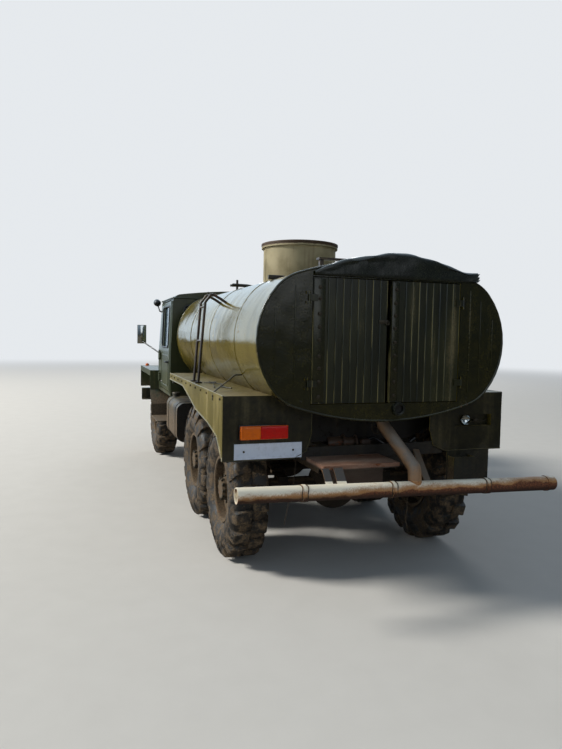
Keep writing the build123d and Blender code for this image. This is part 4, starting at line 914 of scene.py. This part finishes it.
# %% Wheel nuts
nut_rings = (
    # radius, distance from the wheel's middle
    (0.134, 0.052), (0.083, 0.11),
)
for place in wheel_places:
    out, centre = wheel_centre(place)
    spots = []
    for radius, along in nut_rings:
        for y, z in circle(10, radius):
            spots.append(facing((out, 0, 0), centre + Vector((out * along, y, z))))
    bolts(f"wheel_nuts_{place}", spots, 0.014, 0.016, f"wheel_{place}")

# %% [markdown]
# ## The dented hood over the doors
#
# A bent sheet keeps rain off the doors, and by now it is dented and torn. Each row of a flat grid gets a
# place along the sheet's path: up from the tank, back over the top, round a bend and down to a straight
# lip. Waves push it in and out, and its right-hand end curls where it has torn. Solidify gives the
# thickness.

# %% The hood
hood_left, hood_right, hood_lip = 0.6, -0.74, 2.302
hood_columns, first_front_row, torn_from = 72, 9, 0.9
hood_rows = (
    # y, share of the way from the top down to the lip
    (2.995, 0), (3.02, 0), (3.04, 0), (3.07, 0), (3.1, 0), (3.135, 0), (3.162, 0), (3.176, 0.04),
    (3.181, 0.12), (3.182, 0.25), (3.182, 0.4), (3.182, 0.55), (3.182, 0.7), (3.182, 0.85), (3.182, 0.97),
    (3.181, 1), (3.172, 1),
)
lifted = (0, 0.5, 0.9)


def hood_top(x):
    """Height of the hood's upper edge: an arc on the left, a straight slope on the right."""
    d = x + 0.2
    return 2.48 + (0.096 * d - 0.362 * d * d if d > 0 else 0.2185 * d)


last_row = len(hood_rows) - 1
hood = added("grid", x_subdivisions=hood_columns, y_subdivisions=last_row, size=1)
for corner in hood.data.vertices:
    along = corner.co.x + 0.5
    row = round((corner.co.y + 0.5) * last_row)
    y, down = hood_rows[row]
    x = hood_left + (hood_right - hood_left) * along
    top = hood_top(x)
    rise = lifted[row] if row < len(lifted) else 1
    top = min(tank_top(x), top) * (1 - rise) + top * rise
    z = top + (hood_lip - top) * down
    dent = 0.006 * sin(9 * along + 2) + 0.004 * sin(21 * along + 0.7 * row)
    dent += 0.002 * sin(47 * along - row)
    if row < first_front_row:
        z += dent * rise - 0.004
    else:
        y += dent * 0.6 * (1 - down) - 0.004 + 0.003 * sin(13 * along)
    torn = max(0, along - torn_from) / (1 - torn_from)
    ragged = 0.5 + 0.5 * sin(2.3 * row)
    corner.co = (x - 0.02 * torn * ragged, y + 0.016 * torn * torn * down, z + 0.022 * torn * torn * ragged)
only(hood)
thick = hood.modifiers.new("thickness", "SOLIDIFY")
thick.thickness = 0.004
thick.offset = -1
bpy.ops.object.modifier_apply(modifier="thickness")
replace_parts(placed("dented_hood", hood, sheet_dark, angle=50), "visor")

# %% [markdown]
# ## What a truck carries outside
#
# Seals, gutters and pressed ribs are all rods along a path. The cab's walls lean in above the waist and its
# windscreen leans back, so small functions give their places.

# %% Seals, gutter and ribs of the cab
waist, roof_edge, wall = 1.64, 2.37, 1.055
cab_front, cab_rear = -1.89, -0.67
screen_low, screen_high = 1.7, 2.27
rear_low, rear_high = 1.9, 2.24


def screen_y(z):
    return cab_front + 0.17 * max(z - waist, 0) / 0.83


def wall_x(z):
    return wall - 0.03 * max(z - waist, 0) / (roof_edge - waist)


def roof_height(x):
    return 2.45 - 0.08 * (x / 1.025) ** 2


def seal(name, corners, body="chassis"):
    placed(name, loop_rod(corners, 0.045, 0.012), black_plastic, body)


seal("windscreen_seal", [(x, screen_y(z) - 0.003, z) for x, z in pane(0.9, -0.9, screen_low, screen_high)])
seal("rear_window_seal", [(x, cab_rear + 0.001, z) for x, z in pane(0.88, -0.88, rear_low, rear_high)])
posts = [rod([(0, screen_y(z) - 0.002, z) for z in (screen_low, screen_high)], 0.017)]
posts += [rod([(x, cab_rear - 0.004, z) for z in (rear_low, rear_high)], 0.012) for x in (-0.3, 0.3)]
placed("window_posts", posts, cab_green)
gutter_z = 2.335
gutter_x, gutter_y = wall_x(gutter_z) + 0.004, screen_y(gutter_z) - 0.004
gutter = pane(gutter_x, -gutter_x, gutter_y, cab_rear + 0.004)
ribs = [loop_rod([(x, y, gutter_z) for x, y in gutter], 0.02, 0.01)]
for x in (-0.72, -0.36, 0, 0.36, 0.72):
    ribs.append(rod([(x, cab_rear, 1.14), (x, cab_rear, 1.84)], 0.008))
for x in (-0.55, -0.18, 0.18, 0.55):
    ribs.append(rod([(x, -1.6, roof_height(x)), (x, -0.76, roof_height(x))], 0.009))
for side in (-1, 1):
    for y in (-0.79, -0.705):
        ribs.append(rod([(side * wall_x(z), y, z) for z in (1.09, waist, 2.3)], 0.007))
    corner = [(-1.7, 1.09), (-1.87, 1.09), (-1.87, waist)]
    ribs.append(rod([(side * wall, y, z) for y, z in corner], 0.006))
placed("cab_ribs", ribs, cab_green)

# %% Wipers
pivot_z, elbow_z, tip_z = 1.675, 1.7, 1.92
wipers = []
for x in (-0.62, 0.18):
    foot_y = screen_y(1.69) - 0.02
    elbow, tip = (x + 0.02, foot_y - 0.012, elbow_z), (x + 0.2, screen_y(tip_z) - 0.016, tip_z)
    blade = [(x + across, screen_y(z) - 0.01, z) for across, z in ((0.3, 1.8), (0.1, 2.04))]
    wipers += [rod([(x, foot_y, pivot_z), elbow, tip], 0.005), rod(blade, 0.006)]
    pivot = (x, screen_y(pivot_z), pivot_z)
    wipers.append(turned(((0, 0.022), (0.02, 0.02), (0.026, 0.01)), pivot, frontward, 16))
placed("wipers", wipers, black_plastic)

# %% Trim of the cab doors
door_low, door_high, handle_z = 1.69, 2.24, 1.499
stem_profile = ((0, 0.026), (0.006, 0.026), (0.01, 0.013), (0.034, 0.012))
for side, name in both:
    body = f"{name}_door"
    window = pane(-1.525, -0.915, door_low, door_high)
    seal(f"{body}_seal", [(side * (wall_x(z) + 0.001), y, z) for y, z in window], body)
    panel = pane(-1.6, -0.9, 1.17, 1.58)
    bead = [loop_rod([(side * (wall + 0.0005), y, z) for y, z in panel], 0.08, 0.006)]
    bead.append(rod([(side * (wall_x(z) - 0.004), -1.385, z) for z in (door_low, door_high)], 0.01))
    placed(f"{body}_bead", bead, cab_green, body)
    lever = block((side * 1.082, -1.01, handle_z - 0.011), (side * 1.096, -0.875, handle_z + 0.011))
    stem = turned(stem_profile, (side * wall, -0.895, handle_z), (side, 0, 0), 20)
    placed(f"{body}_handle", [lever, stem], black_plastic, body)

# %% Mirror glass and search lamp
mirror_face = -2.176
for side, name in both:
    ends = (side * 1.216, mirror_face - 0.001, 1.727), (side * 1.334, mirror_face + 0.003, 1.993)
    placed(f"mirror_glass_{name}", block(*ends, 0.0015), silver)
back_profile = ((-0.004, 0.0505), (0.01, 0.0495), (0.024, 0.044), (0.036, 0.033), (0.044, 0.018),
                (0.046, 0))
lens_profile = ((0, 0), (0, 0.044), (0.004, 0.049), (-0.01, 0.0515), (-0.016, 0.0505))
lamp_tilt = 0.12
back = turned(back_profile, (1.085, -1.83, 2.32), (0, 1, -lamp_tilt), 28)
placed("search_lamp_back", back, black_plastic)
lens = turned(lens_profile, (1.085, -1.912, 2.3305), (0, -1, lamp_tilt), 28)
placed("search_lamp_lens", lens, lamp_glass)

# %% [markdown]
# ## The front
#
# Behind the grille's slots stands the radiator, and each slot in the bonnet's side has a blade that leads
# hot air back. The headlamps get a bright ring and a fluted lens.

# %% Radiator, blades and bonnet trim
fin_count, blade_count, blade_pitch, blade_turn = 36, 7, 0.09, 0.62


def bonnet_side(y):
    """Half the bonnet's width at y."""
    return 0.43 + 0.09 * (y + 3.305) / 1.405


core = [block((-0.39, -3.3, 1.05), (0.39, -3.255, 1.47))]
for i in range(fin_count):
    x = -0.37 + 0.74 * i / (fin_count - 1)
    core.append(block((x - 0.002, -3.305, 1.06), (x + 0.002, -3.298, 1.46), 0.001))
placed("radiator", core, black_plastic)
blades = []
for side in (-1, 1):
    for i in range(blade_count):
        y = -2.47 + blade_pitch * (i - blade_count // 2)
        place, turn = (side * (bonnet_side(y) - 0.004), y + 0.002, 1.405), (0, 0, -side * blade_turn)
        blades.append(added("cube", size=1, location=place, rotation=turn, scale=(0.003, 0.034, 0.09)))
placed("bonnet_blades", blades, cab_green)
trim = rods([(0.008, (0, -3.29, 1.611), (0, -1.915, 1.699))])
for side in (-1, 1):
    for y in (-3.05, -2.15):
        x = bonnet_side(y)
        trim.append(block((side * (x - 0.002), y - 0.018, 1.485), (side * (x + 0.012), y + 0.018, 1.555)))
grip = [(-0.06, -3.303, 1.545), (-0.06, -3.325, 1.55), (0.06, -3.325, 1.55), (0.06, -3.303, 1.545)]
trim.append(rod(grip, 0.007))
placed("bonnet_trim", trim, cab_green, "bonnet_lid")
grille_face = -3.341
frame_rods = [loop_rod([(x, grille_face, z) for x, z in pane(-0.372, 0.372, 1.046, 1.434)], 0.03, 0.008)]
frame_rods += rods((0.005, (-0.37, grille_face, z), (0.37, grille_face, z)) for z in (1.17, 1.3))
placed("grille_frame", frame_rods, cab_green)

# %% Headlamps and front markers
flute_depth, flute_pitch = 0.0008, 0.016
lens_profile = ((0.0385, 0.087), (0.0425, 0.08), (0.0475, 0.06), (0.0525, 0.032), (0.0548, 0))
ring_profile = ((0.03, 0.1005), (0.036, 0.1015), (0.044, 0.0975), (0.0455, 0.09), (0.04, 0.086))
marker_profile = ((0, 0.034), (0.012, 0.033), (0.034, 0.026), (0.042, 0.012), (0.043, 0))
for side, name in both:
    face = (side * 0.8, -3.34, 1.16)
    lens = turned(lens_profile, face, frontward, 48)
    for corner in lens.data.vertices:
        corner.co.y -= flute_depth * (1 + cos(tau * corner.co.x / flute_pitch))
    placed(f"headlamp_lens_{name}", lens, lamp_glass, angle=60)
    placed(f"headlamp_ring_{name}", turned(ring_profile, face, frontward, 48), steel)
    marker = turned(marker_profile, (side * 1.08, -3.26, 1.33), upward, 24)
    placed(f"front_marker_{name}", marker, orange_lens)

# %% [markdown]
# ## Skirts, platforms and the right panel
#
# The skirts' lower edges are rolled, and a row of bolts holds them. The recess in the right-hand panel
# keeps only a lamp's dish and some bent wire. A thin stay runs from the tank's flank to the platform's
# edge.

# %% Skirts and platforms
skirt_edge = ((0.31, 1.36), (1.21, 1.36), (1.51, 1.3), (1.91, 1.21), (2.41, 1.17), (2.76, 1.11),
              (2.946, 0.953))
panel_edge = ((1.197, 0.955), (0.662, 0.953), (0.551, 1.003), (0.512, 1.131), (0.512, 1.42))
beads, spots = [], []
for side in (-1, 1):
    beads.append(rod([(side * 1.198, y, z) for y, z in skirt_edge], 0.007))
    beads.append(rod([(side * 1.196, y, 1.427) for y in (0.315, 2.946)], 0.005))
    beads.append(rod([(side * x, panel_face - 0.001, z) for x, z in panel_edge], 0.005))
    spots += [facing((side, 0, 0), (side * 1.2, 0.42 + 0.245 * i, 1.4)) for i in range(11)]
placed("skirt_edges", beads, skirt_olive)
bolts("skirt_bolts", spots, 0.008, 0.005)
stay = [(0.935, 2.455, 1.548), (1, 2.508, 1.551), (1.195, 2.62, 1.428), (1.203, 2.621, 1.372),
        (1.196, 2.628, 1.366)]
placed("stay", rod(stay, 0.006), dark_paint)
wire_rows = (
    # radius, points
    (0.005, (1.02, 1.62, 1.434), (1.06, 1.8, 1.436), (0.99, 1.99, 1.44), (1.05, 2.22, 1.436),
     (1, 2.4, 1.436)),
    (0.004, (1.1, 1.78, 1.434), (1.02, 1.9, 1.45), (1.08, 2.08, 1.436), (1.12, 2.3, 1.436)),
    (0.002, (0.64, 2.946, 0.96), (0.636, 2.952, 0.91), (0.652, 2.955, 0.745), (0.69, 2.95, 0.6),
     (0.718, 2.945, 0.45)),
    (0.0025, (-0.055, 3.4, 0.738), (-0.06, 3.395, 0.64), (-0.052, 3.39, 0.56), (-0.075, 3.385, 0.5)),
)
placed("loose_wires", rods(wire_rows), dark_paint)

# %% What is left of the right lamp
dish_profile = ((0, 0.01), (0.004, 0.024), (0.014, 0.036), (0.024, 0.042), (0.026, 0.04), (0.016, 0.034),
                (0.008, 0.022), (0.006, 0))
placed("lamp_dish", turned(dish_profile, (-0.872, 2.9, 1.196), (0.1, 1, 0.1), 28), silver)
wire_rows = (
    # radius, points
    (0.0035, (-0.88, 2.9, 1.19), (-0.93, 2.935, 1.185), (-0.97, 2.925, 1.2), (-1.03, 2.94, 1.188),
     (-1.085, 2.915, 1.2)),
    (0.003, (-0.9, 2.895, 1.235), (-0.94, 2.925, 1.205), (-1, 2.93, 1.17), (-1.04, 2.9, 1.152)),
)
bulb_holder = block((-0.985, 2.897, 1.178), (-0.955, 2.93, 1.206), 0.003)
placed("lamp_wires", [*rods(wire_rows), bulb_holder], steel)

# %% [markdown]
# ## Spray bar and tank top
#
# The spray bar's clamps are loops of wire. On the tank's top lies a bar, and the stub of another one sticks
# out to the left.

# %% Wire loops on the spray bar
loop_radius, loop_wave = 0.0555, 0.006
loops = []
for x in (0.746, 0.073, -0.712):
    for d in (-0.021, 0.021):
        centre = Vector((x + d, bar_y, bar_z + bar_slope * (x + d)))
        ring = []
        for a, (y, z) in zip(turns(20), circle(20, loop_radius)):
            ring.append(centre + Vector((loop_wave * cos(3 * a), y, z)))
        loops.append(rod(ring, 0.0035, closed=True, sides=2))
placed("bar_loops", loops, dark_paint)

# %% Bars on the tank's top
bar = [(x, 0.91, z) for x, z in ((0.64, 2.386), (0.627, 2.398), (0.477, 2.394), (0.318, 2.372))]
top_bars = [rod(bar, 0.017)]
top_bars.append(block((0.6, 2.485, 2.318), (0.735, 2.515, 2.352), 0.003))
placed("top_bars", top_bars, dark_paint)

# %% [markdown]
# ## Under the tank's tail
#
# Between the rails hangs what fills and empties the tank: a small pump with bolted flanges, its suction
# hose, a valve with a hand wheel, and loose hoses.

# %% Pump, valve and hoses
pump_y, pump_z = 2.7, 1.01
pump_profile = ((0, 0.05), (0.01, 0.058), (0.12, 0.06), (0.13, 0.078), (0.146, 0.078), (0.15, 0.052),
                (0.23, 0.05), (0.24, 0.07), (0.256, 0.07), (0.26, 0.03), (0.3, 0.028))
pump = [turned(pump_profile, (0.29, pump_y, pump_z), (-1, 0, 0), 28)]
pump.append(block((0.06, pump_y - 0.05, pump_z - 0.085), (0.25, pump_y + 0.05, pump_z - 0.045), 0.006))
pump.append(block((-0.06, pump_y + 0.02, pump_z - 0.05), (0.02, pump_y + 0.11, pump_z + 0.04), 0.012))
placed("pump", pump, pump_finish)
flange_places = [(x, pump_y + y, pump_z + z) for x in (0.166, 0.055) for y, z in circle(8, 0.066)]
bolts("pump_bolts", [facing((1, 0, 0), place) for place in flange_places], 0.008, 0.007)
hose_rows = (
    # radius, points
    (0.024, (0.2, pump_y, pump_z + 0.05), (0.195, pump_y - 0.03, 1.14), (0.15, 2.61, 1.225),
     (0.14, 2.56, 1.262)),
    (0.016, (0, 2.76, 1.02), (-0.09, 2.8, 1.06), (-0.18, 2.83, 1), (-0.33, 2.86, 0.985),
     (-0.42, 2.88, 1.06)),
    (0.013, (-0.3, 2.95, 1.03), (-0.318, 2.965, 0.96), (-0.352, 2.965, 0.88), (-0.34, 2.955, 0.842),
     (-0.315, 2.95, 0.85)),
)
placed("tail_hoses", rods(hose_rows), black_plastic)
valve_x, valve_z = -0.062, 1.165
hand_wheel = [(valve_x + x, 2.915, valve_z + z) for x, z in circle(20, 0.055)]
valve = [rod(hand_wheel, 0.006, closed=True)]
valve += rods((0.004, hand_wheel[i], hand_wheel[i + 10]) for i in (0, 5))
valve.append(rod([(valve_x, 2.88, valve_z), (valve_x, 2.922, valve_z)], 0.01))
placed("drain_valve", valve, steel)

# %% [markdown]
# ## The neck and the chassis
#
# The neck stands in a weld bead that rises and falls with the tank's top. Air pipes run along the frame,
# and each fuel tank has a cap.

# %% Weld bead and hoop of the neck
neck_y = 1.21
weld = [(x, neck_y + y, tank_top(x)) for x, y in circle(48, 0.374)]
hoop = [(x, neck_y + y, 2.752) for x, y in circle(48, 0.3725)]
neck_beads = [rod(weld, 0.01, closed=True), rod(hoop, 0.006, closed=True)]
neck_beads.append(rod([(0.371, 1.236, 2.4), (0.371, 1.236, 2.75)], 0.004))
placed("neck_beads", neck_beads, neck_paint)

# %% Pipes and caps on the chassis
pipe_ends = (-3.1, -2.4, -1.7, -1, -0.3, 0.4, 1.1, 1.8, 2.5, 2.85)
pipes = []
for side in (-1, 1):
    for i, z in enumerate((0.985, 0.962)):
        run = [(side * 0.44, y, z + 0.004 * sin(2.1 * y + i)) for y in pipe_ends]
        pipes.append(rod(run, 0.006))
placed("air_pipes", pipes, dark_paint)
cap_profile = ((-0.004, 0.05), (0.014, 0.05), (0.02, 0.046), (0.021, 0))
for side, name in both:
    placed(f"fuel_cap_{name}", turned(cap_profile, (side * 1.01, -0.47, 1.115), upward, 24), steel)

# %% Hasp between the doors
hasp_y = tail_face + 0.01
hasp = [block((0.012, tail_face + 0.001, 1.968), (0.085, tail_face + 0.007, 1.996), 0.002)]
hasp.append(loop_rod([(x, hasp_y, z) for x, z in pane(0.004, 0.03, 1.96, 1.988)], 0.01, 0.004))
placed("door_hasp", hasp, steel, "left_cabinet_door")
